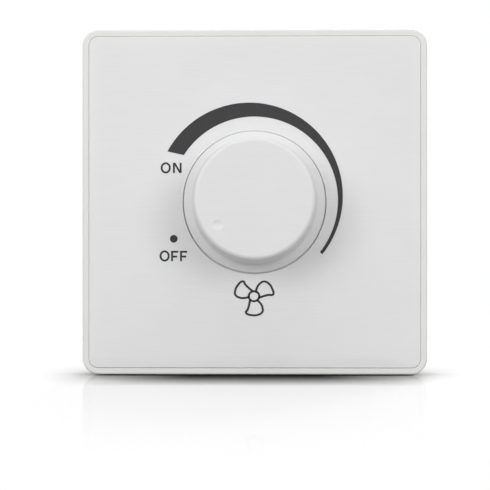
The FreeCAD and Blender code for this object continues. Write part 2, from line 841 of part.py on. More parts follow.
def make_choke_winding():
    """Copper winding on the drum core, all its turns as one solid."""
    front_y = board_front_y - choke_height + choke_flange + choke_fit
    rear_y = board_front_y - choke_flange - choke_fit
    inner = choke_core_radius + choke_fit
    return washer_shape(choke_radius - choke_winding_inset, inner, (front_y, rear_y), choke_x, choke_z)


def rounded_box(width, height, depth, x, z):
    """Moulded box that stands on the board."""
    box = slab(width, height, capacitor_edge_radius, (board_front_y - depth, board_front_y))
    box.translate(V(x, 0, z))
    return box


def make_snubber_capacitor():
    """Boxed film capacitor across the triac."""
    return rounded_box(snubber_width, snubber_depth, snubber_height, 0, snubber_z)


def make_timing_capacitor():
    """Small film capacitor of the phase delay."""
    return rounded_box(timing_depth, timing_width, timing_height, timing_x, timing_z)


def two_lead_places():
    """Board holes of the choke and the two capacitors."""
    snubber_half = snubber_width / 2 - part_gap
    timing_half = timing_width / 2 - part_gap
    choke_half = choke_radius - part_gap
    return [
        (-snubber_half, snubber_z),
        (snubber_half, snubber_z),
        (timing_x, timing_z - timing_half),
        (timing_x, timing_z + timing_half),
        (choke_x, choke_z - choke_half),
        (choke_x, choke_z + choke_half),
    ]


def make_component_leads():
    """Wire legs of the choke and the two capacitors."""
    lead_y = (board_front_y, solder_y)
    return Part.makeCompound([pin(lead_half, lead_y, x, z) for x, z in two_lead_places()])


def axial_part(radius, length, centre, along):
    """Axial component lying on the board with both legs bent down into it."""
    body_start = centre - along * (length / 2)
    body = Part.makeCylinder(radius, length, body_start, along)
    half_span = length / 2 + lead_bend
    pieces = []
    for side in (-1, 1):
        bend = centre + along * (side * half_span)
        pieces.append(pin(lead_half, (bend.y - lead_half, solder_y), bend.x, bend.z))
        low = V(min(bend.x, centre.x), bend.y, min(bend.z, centre.z))
        high = V(max(bend.x, centre.x), bend.y, max(bend.z, centre.z))
        grow = V(lead_half, lead_half, lead_half) - along * lead_half
        low = low - grow
        high = high + grow
        pieces.append(block((low.x, high.x), (low.y, high.y), (low.z, high.z)))
    return fused(body, *pieces)


def axial_centre(radius, x, z):
    """Middle of an axial component that lies just clear of the board."""
    return V(x, board_front_y - body_lift - radius, z)


def make_resistors():
    """Row of axial resistors along the board's top edge."""
    places = row(resistor_count, resistor_pitch)
    solids = []
    for x in places:
        centre = axial_centre(resistor_radius, x, resistor_z)
        solids.append(axial_part(resistor_radius, resistor_length, centre, RIGHT))
    return Part.makeCompound(solids)


def make_diac():
    """Trigger diac beside the triac."""
    return axial_part(diac_radius, diac_length, axial_centre(diac_radius, diac_x, diac_z), UP)


def wire_holes():
    """Every punched hole in the board as (x, z, half width of its pin)."""
    holes = [(x, track_terminal_z, track_terminal_half) for x in row(3, track_terminal_pitch)]
    for x in (-switch_terminal_offset, switch_terminal_offset):
        holes.append((x, switch_terminal_offset, switch_terminal_half))
    holes += [(triac_lead_x(), z, lead_half) for z in row(3, triac_lead_pitch)]
    holes += [(x, z, lead_half) for x, z in two_lead_places()]
    half_span = resistor_length / 2 + lead_bend
    for x in row(resistor_count, resistor_pitch):
        holes += [(x - half_span, resistor_z, lead_half), (x + half_span, resistor_z, lead_half)]
    half_span = diac_length / 2 + lead_bend
    holes += [(diac_x, diac_z - half_span, lead_half), (diac_x, diac_z + half_span, lead_half)]
    holes += [(x, pillar_z, pillar_pin_half) for x in row(2, terminal_pitch)]
    return holes


def make_circuit_board():
    """Laminate board, clamped between the frame's bosses and the housing's posts."""
    board_y = (board_front_y, board_rear_y)
    board = slab(2 * board_half_width, 2 * board_half_height, board_corner_radius, board_y)
    cuts = [pin(half + lead_clearance, board_y, x, z) for x, z, half in wire_holes()]
    cuts += [rod(screw_radius + screw_pass, board_y, x, z) for x, z in corner_places()]
    half = heat_sink_foot / 2 + lead_clearance
    foot_x = (heat_sink_x - lead_clearance, heat_sink_back_x + lead_clearance)
    cuts += [block(foot_x, board_y, (z - half, z + half)) for z in heat_sink_feet()]
    return board.cut(cuts)


def make_rear_housing():
    """Moulded box with corner posts, vents and a notch that leaves the wire terminals open."""
    width = 2 * housing_half_width
    height = 2 * housing_half_height
    shell = slab(width, height, housing_corner_radius, (floor_rear_y, housing_rear_y))
    shell = shell.makeChamfer(housing_edge_chamfer, edges_at(shell, housing_rear_y))
    inner_radius = max(housing_corner_radius - housing_wall, inside_corner_radius)
    hollow_y = (floor_rear_y, housing_inner_y)
    hollow = slab(width - 2 * housing_wall, height - 2 * housing_wall, inner_radius, hollow_y)
    posts = [rod(post_radius, (board_rear_y, housing_inner_y), x, z) for x, z in corner_places()]
    shell = shell.cut(hollow.cut(posts))
    cuts = []
    for x, z in corner_places():
        cuts.append(rod(screw_radius + screw_pass, (board_rear_y, housing_rear_y), x, z))
        cuts.append(rod(screw_head_radius + screw_pass, (screw_seat_y, housing_rear_y), x, z))
    half_vent = vent_width / 2
    top_y = (floor_rear_y + vent_border, board_front_y - vent_border)
    top_z = (housing_half_height - housing_wall, housing_half_height)
    for x in row(top_vent_count, vent_pitch):
        cuts.append(block((x - half_vent, x + half_vent), top_y, top_z))
    vent_half_length = post_x - post_radius - vent_border / 2
    vent_y = (housing_inner_y, housing_rear_y)
    for index in range(rear_vent_count):
        z = post_z - post_radius - vent_pitch * index
        cuts.append(block((-vent_half_length, vent_half_length), vent_y, (z - half_vent, z + half_vent)))
    notch_half = block_half_width + notch_clearance
    notch_z = (-housing_half_height, block_bottom_z + block_height + notch_clearance)
    cuts.append(block((-notch_half, notch_half), (board_rear_y, housing_rear_y), notch_z))
    return shell.cut(cuts).removeSplitter()


def make_housing_screws():
    """Four tapping screws through the housing's posts and the board into the frame's bosses."""
    screws = []
    tip_y = board_front_y - screw_bite
    head_y = (screw_seat_y, screw_seat_y + screw_head_height)
    half = driver_slot_width / 2
    reach = screw_head_radius / 2
    cross_y = (head_y[1] - screw_cross_depth, head_y[1])
    for x, z in corner_places():
        screw = fused(rod(screw_head_radius, head_y, x, z), rod(screw_radius, (tip_y, screw_seat_y), x, z))
        screw = screw.cut(block((x - half, x + half), cross_y, (z - reach, z + reach)))
        screws.append(screw.cut(block((x - reach, x + reach), cross_y, (z - half, z + half))))
    return Part.makeCompound(screws)


def make_terminal_block():
    """Two-pole moulded block on the board's rear, open below for wires and behind for the clamp screws."""
    block_y = (board_rear_y, block_rear_y)
    block_z = (block_bottom_z, block_bottom_z + block_height)
    body = block((-block_half_width, block_half_width), block_y, block_z)
    cuts = []
    half_width = pillar_width / 2 + pillar_fit
    pocket_z = (block_bottom_z, block_bottom_z + pillar_height + pillar_fit)
    for x in row(2, terminal_pitch):
        cuts.append(block((x - half_width, x + half_width), (pillar_front_y, block_rear_y), pocket_z))
        cuts.append(pin(pillar_pin_half + pillar_fit, (board_rear_y, pillar_front_y), x, pillar_z))
    return body.cut(cuts)


def make_terminal_pillars():
    """Two brass pillars, each with a round wire hole and a threaded hole for its clamp screw."""
    pillars = []
    half = pillar_width / 2
    bottom_z = pillar_z - pillar_height / 2
    for x in row(2, terminal_pitch):
        span_z = (bottom_z, bottom_z + pillar_height)
        pillar = block((x - half, x + half), (pillar_front_y, pillar_rear_y), span_z)
        pin_y = (board_front_y - solder_reach, pillar_front_y)
        pillar = fused(pillar, pin(pillar_pin_half, pin_y, x, pillar_z))
        bore = Part.makeCylinder(wire_bore_radius, pillar_height, V(x, wire_bore_y, bottom_z), UP)
        thread = rod(terminal_screw_radius + screw_fit, (wire_bore_y, pillar_rear_y), x, pillar_z)
        pillars.append(pillar.cut([bore, thread]))
    return Part.makeCompound(pillars)


def make_terminal_screws():
    """Two slotted clamp screws, backed out clear of the wire holes."""
    screws = []
    tip_y = wire_bore_y + wire_bore_radius + screw_fit
    neck_y = pillar_rear_y + terminal_screw_lift
    half = driver_slot_width / 2
    reach = 2 * terminal_screw_head_radius
    for x in row(2, terminal_pitch):
        screw = fused(
            rod(terminal_screw_radius, (tip_y, neck_y), x, pillar_z),
            rod(terminal_screw_head_radius, (neck_y, terminal_head_y), x, pillar_z),
        )
        slot_y = (terminal_head_y - driver_slot_depth, terminal_head_y)
        screws.append(screw.cut(block((x - reach, x + reach), slot_y, (pillar_z - half, pillar_z + half))))
    return Part.makeCompound(screws)


PIECES = {
    "front_cover": make_front_cover,
    "speed_scale_print": make_speed_scale_print,
    "mounting_frame": make_mounting_frame,
    "rear_housing": make_rear_housing,
    "housing_screws": make_housing_screws,
    "circuit_board": make_circuit_board,
    "knob": make_knob,
    "pot_shaft": make_pot_shaft,
    "shaft_ring": make_shaft_ring,
    "pot_rotor": make_pot_rotor,
    "wiper": make_wiper,
    "pot_bush": make_pot_bush,
    "pot_lock_washer": make_pot_lock_washer,
    "pot_nut": make_pot_nut,
    "pot_can": make_pot_can,
    "track_wafer": make_track_wafer,
    "track_terminals": make_track_terminals,
    "switch_case": make_switch_case,
    "switch_terminals": make_switch_terminals,
    "triac_body": make_triac_body,
    "triac_tab": make_triac_tab,
    "triac_leads": make_triac_leads,
    "triac_screw": make_triac_screw,
    "triac_nut": make_triac_nut,
    "heat_sink": make_heat_sink,
    "choke_core": make_choke_core,
    "choke_winding": make_choke_winding,
    "snubber_capacitor": make_snubber_capacitor,
    "timing_capacitor": make_timing_capacitor,
    "component_leads": make_component_leads,
    "resistors": make_resistors,
    "diac": make_diac,
    "terminal_block": make_terminal_block,
    "terminal_pillars": make_terminal_pillars,
    "terminal_screws": make_terminal_screws,
}

os.makedirs("parts", exist_ok=True)
for name, make in PIECES.items():
    shape = make()
    shape.exportStep(f"parts/{name}.step")
    print(name, len(shape.Solids), "solid", shape.isValid(), round(shape.Volume, 2))
print("cover face at", cover_face_y, "housing rear at", housing_rear_y)
print("wire bore", [terminal_pitch / 2, wire_bore_y, pillar_z - pillar_height / 2])
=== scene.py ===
import json
import math

import bmesh
import bpy
from mathutils import Euler, Matrix, Vector

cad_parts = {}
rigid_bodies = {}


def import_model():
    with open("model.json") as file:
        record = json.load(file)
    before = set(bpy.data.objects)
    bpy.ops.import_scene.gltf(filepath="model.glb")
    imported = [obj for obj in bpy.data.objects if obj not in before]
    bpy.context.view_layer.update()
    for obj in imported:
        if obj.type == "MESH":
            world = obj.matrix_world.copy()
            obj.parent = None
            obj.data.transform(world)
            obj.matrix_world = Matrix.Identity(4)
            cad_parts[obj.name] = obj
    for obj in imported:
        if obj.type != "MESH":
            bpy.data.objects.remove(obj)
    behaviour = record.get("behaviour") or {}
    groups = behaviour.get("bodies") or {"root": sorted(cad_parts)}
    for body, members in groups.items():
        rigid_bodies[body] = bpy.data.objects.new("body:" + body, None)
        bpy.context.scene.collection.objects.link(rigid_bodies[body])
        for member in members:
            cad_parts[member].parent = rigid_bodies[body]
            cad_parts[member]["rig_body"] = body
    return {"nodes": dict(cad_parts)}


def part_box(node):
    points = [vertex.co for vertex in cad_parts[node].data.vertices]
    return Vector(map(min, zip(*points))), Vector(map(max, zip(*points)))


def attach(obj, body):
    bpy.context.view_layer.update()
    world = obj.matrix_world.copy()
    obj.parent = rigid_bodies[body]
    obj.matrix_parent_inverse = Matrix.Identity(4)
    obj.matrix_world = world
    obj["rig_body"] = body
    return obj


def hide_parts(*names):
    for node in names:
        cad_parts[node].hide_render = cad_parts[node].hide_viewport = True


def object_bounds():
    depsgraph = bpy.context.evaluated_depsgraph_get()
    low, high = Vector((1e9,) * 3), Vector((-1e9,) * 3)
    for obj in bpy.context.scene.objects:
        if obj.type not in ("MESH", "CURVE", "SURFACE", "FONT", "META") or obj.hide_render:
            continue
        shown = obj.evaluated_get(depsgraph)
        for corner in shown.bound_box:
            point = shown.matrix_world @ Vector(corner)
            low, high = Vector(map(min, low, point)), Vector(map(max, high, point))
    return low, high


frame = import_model()
cad_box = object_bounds()


# Mounting frame: the square frame that two screws hold to the wall box, with a thin rim that shows all
# round the cover. It is one injection moulding in white plastic, with four bosses behind for the screws
# of the housing.
MM = 0.001
FRAME_WHITE = (0.80, 0.80, 0.785)
FRAME_ROUGHNESS = 0.38
RIM_EDGE = 0.04 * MM
EDGE_STEPS = 2
WELD_DISTANCE = 0.0005 * MM
FLAT_ANGLE = math.radians(0.4)
FLAT_WEIGHT = 100
CREASE_ANGLE = math.radians(27)
NOISE_LOW = 0.3
NOISE_HIGH = 0.7
EVEN = (1.0, 1.0, 1.0)
PIT_SIZE = 0.22 * MM
POLISHED_PITS = 0.002 * MM
HAIRLINE_SIZE = 0.25 * MM
HAIRLINE_STRETCH = (40.0, 40.0, 1.0)
TONE_SIZE = 14.0 * MM
TONE_DEPTH = 0.012
GLOSS_SPREAD = 0.05


def add_node(tree, kind, inputs=None, **settings):
    """Adds a node, with its settings, and links or sets its named inputs."""
    node = tree.nodes.new(kind)
    for key, value in settings.items():
        setattr(node, key, value)
    for socket, value in (inputs or {}).items():
        if isinstance(value, bpy.types.NodeSocket):
            tree.links.new(value, node.inputs[socket])
        else:
            node.inputs[socket].default_value = value
    return node


def reckon(tree, operation, *numbers):
    """The result of a math node on one or two numbers or sockets."""
    return add_node(tree, "ShaderNodeMath", dict(enumerate(numbers)), operation=operation).outputs["Value"]


def start_material(name, roughness, metallic=0.0):
    """A material with one principled shader, returned with its tree and shader."""
    material = bpy.data.materials.new(name)
    material.use_nodes = True
    shader = material.node_tree.nodes["Principled BSDF"]
    shader.inputs["Roughness"].default_value = roughness
    shader.inputs["Metallic"].default_value = metallic
    return material, material.node_tree, shader


def grain(tree, size, stretch=EVEN, detail=2.0):
    """Noise in the piece's own coordinates, one grain as wide as size and drawn out along each axis."""
    place = add_node(tree, "ShaderNodeTexCoord")
    scale = [1.0 / (size * length) for length in stretch]
    mapping = add_node(tree, "ShaderNodeMapping", {"Vector": place.outputs["Object"], "Scale": scale})
    noise = add_node(tree, "ShaderNodeTexNoise", {"Vector": mapping.outputs["Vector"], "Detail": detail})
    noise.inputs["Scale"].default_value = 1.0
    return noise.outputs["Fac"]


def spread(tree, value, low, high):
    """Maps the middle of a noise pattern to a range."""
    ends = {"From Min": NOISE_LOW, "From Max": NOISE_HIGH, "To Min": low, "To Max": high}
    return add_node(tree, "ShaderNodeMapRange", {"Value": value} | ends).outputs["Result"]


def shade(colour, factor):
    """A colour made lighter or darker, with full alpha."""
    return [min(1.0, channel * factor) for channel in colour] + [1.0]


def mottled(tree, shader, pattern, colour, depth):
    """Colours the shader a little darker and lighter along a pattern."""
    ramp = add_node(tree, "ShaderNodeValToRGB", {"Fac": pattern})
    dark, light = ramp.color_ramp.elements
    dark.position = NOISE_LOW
    dark.color = shade(colour, 1.0 - depth)
    light.position = NOISE_HIGH
    light.color = shade(colour, 1.0 + depth)
    tree.links.new(ramp.outputs["Color"], shader.inputs["Base Color"])


def raised(tree, shader, pattern, depth):
    """Gives the surface a relief along a pattern, its depth in metres."""
    bump = add_node(tree, "ShaderNodeBump", {"Height": pattern, "Distance": depth, "Strength": 1.0})
    tree.links.new(bump.outputs["Normal"], shader.inputs["Normal"])


def moulded_plastic(name, colour, roughness, pit_depth, streak_depth=0.0):
    """Moulded plastic: slow tone change, fine mould texture and, on the front, faint level hairlines."""
    material, tree, shader = start_material(name, roughness)
    pits = grain(tree, PIT_SIZE)
    hairlines = grain(tree, HAIRLINE_SIZE, HAIRLINE_STRETCH, detail=3.0)
    tone = grain(tree, TONE_SIZE)
    streaks = spread(tree, hairlines, -streak_depth, streak_depth)
    mottled(tree, shader, reckon(tree, "ADD", tone, streaks), colour, TONE_DEPTH)
    gloss = spread(tree, pits, roughness - GLOSS_SPREAD, roughness + GLOSS_SPREAD)
    tree.links.new(gloss, shader.inputs["Roughness"])
    raised(tree, shader, pits, pit_depth)
    return material


def smooth_skin(node):
    """Copies a CAD solid as one joined mesh, with its outer creases marked for rounding."""
    skin = bmesh.new()
    skin.from_mesh(frame["nodes"][node].data)
    bmesh.ops.remove_doubles(skin, verts=skin.verts, dist=WELD_DISTANCE)
    bmesh.ops.dissolve_limit(skin, angle_limit=FLAT_ANGLE, verts=skin.verts, edges=skin.edges)
    rounding = skin.edges.layers.float.new("bevel_weight_edge")
    for face in skin.faces:
        face.smooth = True
    for edge in skin.edges:
        edge.smooth = edge.calc_face_angle(math.pi) < CREASE_ANGLE
        edge[rounding] = 0.0 if edge.smooth or not edge.is_convex else 1.0
    mesh = bpy.data.meshes.new(node)
    skin.to_mesh(mesh)
    skin.free()
    return mesh


def settle(piece, node, material):
    """Gives a piece its material and puts it on the body of the CAD node that it stands for."""
    piece.data.materials.clear()
    piece.data.materials.append(material)
    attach(piece, frame["nodes"][node]["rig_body"])


def link_piece(name, mesh):
    """Puts a mesh or a drawing into the scene as a piece at the origin."""
    piece = bpy.data.objects.new(name, mesh)
    bpy.context.scene.collection.objects.link(piece)
    return piece


def dress(node, material, edge=0.0):
    """Stands a smooth copy in for a CAD node, its outer creases rounded if an edge radius is given."""
    piece = link_piece(node + "_skin", smooth_skin(node))
    if edge:
        rounding = piece.modifiers.new("edge rounding", "BEVEL")
        rounding.width = edge
        rounding.segments = EDGE_STEPS
        rounding.limit_method = "WEIGHT"
        rounding.use_clamp_overlap = False
    normals = piece.modifiers.new("flat faces stay flat", "WEIGHTED_NORMAL")
    normals.keep_sharp = True
    normals.weight = FLAT_WEIGHT
    settle(piece, node, material)
    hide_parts(node)


frame_white = moulded_plastic("frame_white", FRAME_WHITE, FRAME_ROUGHNESS, POLISHED_PITS)
dress("mounting_frame", frame_white, RIM_EDGE)


# Potentiometer: a bush, can and split washer pressed from plated steel, clamped to the frame by a nut.
# Inside, a bronze wiper on an acetal rotor sweeps a carbon track on a brown laminate wafer.
PLATED_STEEL = (0.60, 0.60, 0.59)
SPRING_BRONZE = (0.62, 0.40, 0.18)
WAFER_BROWN = (0.23, 0.13, 0.055)
ACETAL = (0.70, 0.68, 0.60)
SHAFT_GREY = (0.70, 0.71, 0.72)
TIN_GREY = (0.66, 0.66, 0.64)
MARK_DEPTH = 0.004 * MM
MARK_GLOSS = (-0.08, 0.1)
STAIN_SIZE = 3.0 * MM
STAIN_DEPTH = 0.07
FIBRE_SIZE = 0.35 * MM
FIBRE_STRETCH = (3.0, 1.0, 0.6)
FIBRE_TONE = 0.22
FIBRE_DEPTH = 0.006 * MM


def worked_metal(name, colour, roughness, mark_size, stretch):
    """Bare or plated metal with fine marks drawn out along the way it was worked."""
    material, tree, shader = start_material(name, roughness, metallic=1.0)
    marks = grain(tree, mark_size, stretch, detail=4.0)
    stain = grain(tree, STAIN_SIZE)
    mottled(tree, shader, stain, colour, STAIN_DEPTH)
    gloss = spread(tree, marks, roughness + MARK_GLOSS[0], roughness + MARK_GLOSS[1])
    tree.links.new(gloss, shader.inputs["Roughness"])
    raised(tree, shader, marks, MARK_DEPTH)
    return material


def fibre_laminate(name, colour, roughness):
    """Pressed paper laminate: flecks of fibre under a thin lacquer."""
    material, tree, shader = start_material(name, roughness)
    fibres = grain(tree, FIBRE_SIZE, FIBRE_STRETCH, detail=4.0)
    mottled(tree, shader, fibres, colour, FIBRE_TONE)
    raised(tree, shader, fibres, FIBRE_DEPTH)
    return material


plated_steel = worked_metal("plated_steel", PLATED_STEEL, roughness=0.30,
                            mark_size=0.12 * MM, stretch=(6.0, 1.0, 6.0))
turned_shaft = worked_metal("turned_shaft", SHAFT_GREY, roughness=0.34,
                            mark_size=0.05 * MM, stretch=(60.0, 1.0, 60.0))
spring_bronze = worked_metal("spring_bronze", SPRING_BRONZE, roughness=0.28,
                             mark_size=0.10 * MM, stretch=(8.0, 1.0, 1.0))
tinned_metal = worked_metal("tinned_metal", TIN_GREY, roughness=0.36,
                            mark_size=0.20 * MM, stretch=(1.0, 4.0, 1.0))
wafer_laminate = fibre_laminate("wafer_laminate", WAFER_BROWN, roughness=0.45)
acetal = moulded_plastic("acetal", ACETAL, roughness=0.42, pit_depth=0.003 * MM)
for pressing in ("pot_bush", "pot_can", "pot_lock_washer", "pot_nut", "shaft_ring"):
    dress(pressing, plated_steel)
dress("pot_shaft", turned_shaft)
dress("pot_rotor", acetal)
dress("wiper", spring_bronze)
dress("track_wafer", wafer_laminate)
dress("track_terminals", tinned_metal)


# Mains switch: a sealed black case behind the potentiometer, worked by the rotor's peg near the OFF end,
# with two tinned tags that go through the board.
CASE_BLACK = (0.022, 0.022, 0.024)
CASE_EDGE = 0.12 * MM

case_black = moulded_plastic("case_black", CASE_BLACK, roughness=0.32, pit_depth=0.004 * MM)
dress("switch_case", case_black, CASE_EDGE)
dress("switch_terminals", tinned_metal)


# Circuit board: punched paper laminate, bare in front, with lacquered copper tracks on its rear face.
# Every lead comes through and is soldered there.
BOARD_TAN = (0.40, 0.29, 0.13)
BOARD_LACQUER = (0.10, 0.16, 0.05)
TRACK_SIZE = 3.2 * MM
TRACK_STRETCH = (1.0, 1.0, 3.0)
TRACK_START = 0.52
BARE_SHADE = 0.7
TRACK_SHADE = 1.25
REAR_FACING = 0.5
SOLDER_GREY = (0.58, 0.58, 0.57)
SOLDER_RADIUS = 0.95 * MM
SOLDER_TIP_RADIUS = 0.42 * MM
SOLDER_HEIGHT = 0.8 * MM
SOLDER_SIDES = 20
SOLDER_STEPS = 3
SOLDERED_NODES = ("track_terminals", "switch_terminals", "triac_leads", "component_leads")


def board_laminate():
    """Tan laminate in front, and lacquer with long soft track shapes on the rear face."""
    material = fibre_laminate("board_laminate", BOARD_TAN, roughness=0.5)
    tree = material.node_tree
    shader = tree.nodes["Principled BSDF"]
    front = shader.inputs["Base Color"].links[0].from_socket
    tracks = grain(tree, TRACK_SIZE, TRACK_STRETCH, detail=0.0)
    lacquer = add_node(tree, "ShaderNodeValToRGB", {"Fac": tracks})
    lacquer.color_ramp.interpolation = "CONSTANT"
    bare, copper = lacquer.color_ramp.elements
    bare.color = shade(BOARD_LACQUER, BARE_SHADE)
    copper.color = shade(BOARD_LACQUER, TRACK_SHADE)
    copper.position = TRACK_START
    facing = add_node(tree, "ShaderNodeNewGeometry").outputs["Normal"]
    backward = add_node(tree, "ShaderNodeSeparateXYZ", {"Vector": facing}).outputs["Y"]
    rear = reckon(tree, "GREATER_THAN", backward, REAR_FACING)
    mix = add_node(tree, "ShaderNodeMix", {"Factor": rear}, data_type="RGBA")
    tree.links.new(front, mix.inputs["A"])
    tree.links.new(lacquer.outputs["Color"], mix.inputs["B"])
    tree.links.new(mix.outputs["Result"], shader.inputs["Base Color"])
    return material


def loose_places(node, y):
    """Centres of a node's separate solids, set at one depth and always in the same order."""
    skin = bmesh.new()
    skin.from_mesh(frame["nodes"][node].data)
    bmesh.ops.remove_doubles(skin, verts=skin.verts, dist=WELD_DISTANCE)
    left = set(skin.verts)
    places = []
    while left:
        island = []
        front = [left.pop()]
        while front:
            vert = front.pop()
            island.append(vert.co.copy())
            near = {edge.other_vert(vert) for edge in vert.link_edges} & left
            left -= near
            front.extend(near)
        low = Vector([min(point[axis] for point in island) for axis in range(3)])
        high = Vector([max(point[axis] for point in island) for axis in range(3)])
        middle = (low + high) / 2
        places.append((middle.x, y, middle.z))
    skin.free()
    return sorted(places)


def point_piece(name, places):
    """A piece that so far has only the points where its copies go."""
    mesh = bpy.data.meshes.new(name)
    mesh.from_pydata(places, [], [])
    return link_piece(name, mesh)


def new_tree(name, sizes):
    """A geometry tree with inputs for a geometry, named sizes and a material, and one geometry output."""
    tree = bpy.data.node_groups.new(name, "GeometryNodeTree")
    tree.interface.new_socket("Geometry", in_out="INPUT", socket_type="NodeSocketGeometry")
    for size in sizes:
        tree.interface.new_socket(size, in_out="INPUT", socket_type="NodeSocketFloat")
    tree.interface.new_socket("Material", in_out="INPUT", socket_type="NodeSocketMaterial")
    tree.interface.new_socket("Geometry", in_out="OUTPUT", socket_type="NodeSocketGeometry")
    return tree, add_node(tree, "NodeGroupInput").outputs


def close_tree(tree, given, geometry):
    """Ends a geometry tree: real meshes in place of instances, with the piece's material."""
    real = add_node(tree, "GeometryNodeRealizeInstances", {"Geometry": geometry}).outputs["Geometry"]
    painted = add_node(tree, "GeometryNodeSetMaterial", {"Geometry": real, "Material": given["Material"]})
    add_node(tree, "NodeGroupOutput", {"Geometry": painted.outputs["Geometry"]})


def grow(source, tree, values):
    """Runs a geometry tree on an object and puts the plain mesh that it gives in the object's place."""
    name = source.name
    modifier = source.modifiers.new(tree.name, "NODES")
    modifier.node_group = tree
    for socket in tree.interface.items_tree:
        if socket.in_out == "INPUT" and socket.name in values:
            modifier[socket.identifier] = values[socket.name]
    graph = bpy.context.evaluated_depsgraph_get()
    mesh = bpy.data.meshes.new_from_object(source.evaluated_get(graph), depsgraph=graph)
    bpy.data.objects.remove(source)
    return link_piece(name, mesh)


def solder_tree():
    """A small cone of solder round each lead, wide on the board and narrow up the lead."""
    tree, given = new_tree("solder joints", ("Foot Radius", "Tip Radius", "Height"))
    shape = {"Vertices": SOLDER_SIDES, "Side Segments": SOLDER_STEPS, "Radius Bottom": given["Foot Radius"]}
    shape.update({"Radius Top": given["Tip Radius"], "Depth": given["Height"]})
    cone = add_node(tree, "GeometryNodeMeshCone", shape).outputs["Mesh"]
    turn = {"Geometry": cone, "Rotation": (-math.pi / 2, 0.0, 0.0)}
    laid = add_node(tree, "GeometryNodeTransform", turn).outputs["Geometry"]
    copies = {"Points": given["Geometry"], "Instance": laid}
    close_tree(tree, given, add_node(tree, "GeometryNodeInstanceOnPoints", copies).outputs["Instances"])
    return tree


dress("circuit_board", board_laminate())
solder = worked_metal("solder", SOLDER_GREY, roughness=0.24, mark_size=0.5 * MM, stretch=EVEN)
board_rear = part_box("circuit_board")[1].y
lead_places = [place for node in SOLDERED_NODES for place in loose_places(node, board_rear)]
solder_sizes = {"Foot Radius": SOLDER_RADIUS, "Tip Radius": SOLDER_TIP_RADIUS, "Height": SOLDER_HEIGHT}
solder_points = point_piece("solder_joints", lead_places)
solder_joints = grow(solder_points, solder_tree(), solder_sizes | {"Material": solder})
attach(solder_joints, "base")


# Triac and heat sink: a black epoxy body on a tinned tab, bolted to an aluminium angle that carries its
# heat to the air in the housing.
EPOXY_BLACK = (0.028, 0.028, 0.032)
SINK_ALUMINIUM = (0.76, 0.76, 0.77)
ZINC_GREY = (0.62, 0.62, 0.60)
EPOXY_EDGE = 0.15 * MM
TAB_EDGE = 0.08 * MM
SINK_EDGE = 0.15 * MM
FASTENER_EDGE = 0.12 * MM

epoxy_black = moulded_plastic("epoxy_black", EPOXY_BLACK, roughness=0.55, pit_depth=0.012 * MM)
sink_aluminium = worked_metal("sink_aluminium", SINK_ALUMINIUM, roughness=0.38,
                              mark_size=0.09 * MM, stretch=(1.0, 30.0, 1.0))
zinc_plate = worked_metal("zinc_plate", ZINC_GREY, roughness=0.28, mark_size=0.25 * MM, stretch=EVEN)
dress("triac_body", epoxy_black, EPOXY_EDGE)
dress("triac_tab", tinned_metal, TAB_EDGE)
dress("triac_leads", tinned_metal)
dress("heat_sink", sink_aluminium, SINK_EDGE)
dress("triac_screw", zinc_plate, FASTENER_EDGE)
dress("triac_nut", zinc_plate, FASTENER_EDGE)


# Choke: enamelled copper wire wound on a sintered ferrite drum that sits on the board.
# It keeps the noise of the switching triac off the mains.
FERRITE_GREY = (0.065, 0.065, 0.07)
ENAMEL_COPPER = (0.52, 0.19, 0.07)
WIRE_ROUGHNESS = 0.3
WIRE_PITCH = 0.55 * MM
WIRE_RIDGE = 0.12 * MM
GROOVE_PAINTED_SHADE = 0.35
WAVE_RATE = 10.0
DRUM_EDGE = 0.15 * MM


def wound_wire():
    """Close turns of enamelled wire, one ridge for each turn along the drum, with painted shade in the
    grooves and painted light on the ridges.
    """
    material, tree, shader = start_material("wound_wire", WIRE_ROUGHNESS, metallic=1.0)
    place = add_node(tree, "ShaderNodeTexCoord").outputs["Object"]
    turns = {"Vector": place, "Scale": math.pi / (WAVE_RATE * WIRE_PITCH)}
    wave = add_node(tree, "ShaderNodeTexWave", turns, bands_direction="Y").outputs["Fac"]
    # Painted shade and light: the colour is darker in the grooves between turns and lighter on their
    # crests.
    mottled(tree, shader, wave, ENAMEL_COPPER, GROOVE_PAINTED_SHADE)
    raised(tree, shader, wave, WIRE_RIDGE)
    return material


ferrite = moulded_plastic("ferrite", FERRITE_GREY, roughness=0.6, pit_depth=0.02 * MM)
dress("choke_core", ferrite, DRUM_EDGE)
dress("choke_winding", wound_wire(), DRUM_EDGE)


# Capacitors, resistors and trigger diode: small lacquered bodies that stand on tinned leads.
# The resistors carry the usual rings of colour round a tan body.
BOX_YELLOW = (0.60, 0.40, 0.05)
DIP_RED = (0.36, 0.055, 0.03)
DIODE_BLUE = (0.07, 0.17, 0.36)
RESISTOR_TAN = (0.52, 0.36, 0.20)
RING_COLOURS = ((0.20, 0.06, 0.02), (0.02, 0.02, 0.02), (0.45, 0.10, 0.01), (0.55, 0.38, 0.08))
RING_FIRST = 0.30
RING_STEP = 0.115
RING_WIDTH = 0.055
RESISTOR_COUNT = 3
RESISTOR_ROUGHNESS = 0.35
RESISTOR_EDGE = 0.15 * MM
RESISTOR_SWELL = 0.9 * MM
RESISTOR_RELIEF = 0.03 * MM
DIP_ROUGHNESS = 0.2
DIP_SWELL = 1.6 * MM
DIP_TONE = 0.08
DIP_RELIEF = 0.05 * MM
DIODE_EDGE = 0.12 * MM


def dipped_coat(name, colour):
    """Glossy dipped lacquer with a soft uneven skin."""
    material, tree, shader = start_material(name, DIP_ROUGHNESS)
    swell = grain(tree, DIP_SWELL)
    mottled(tree, shader, swell, colour, DIP_TONE)
    raised(tree, shader, swell, DIP_RELIEF)
    return material


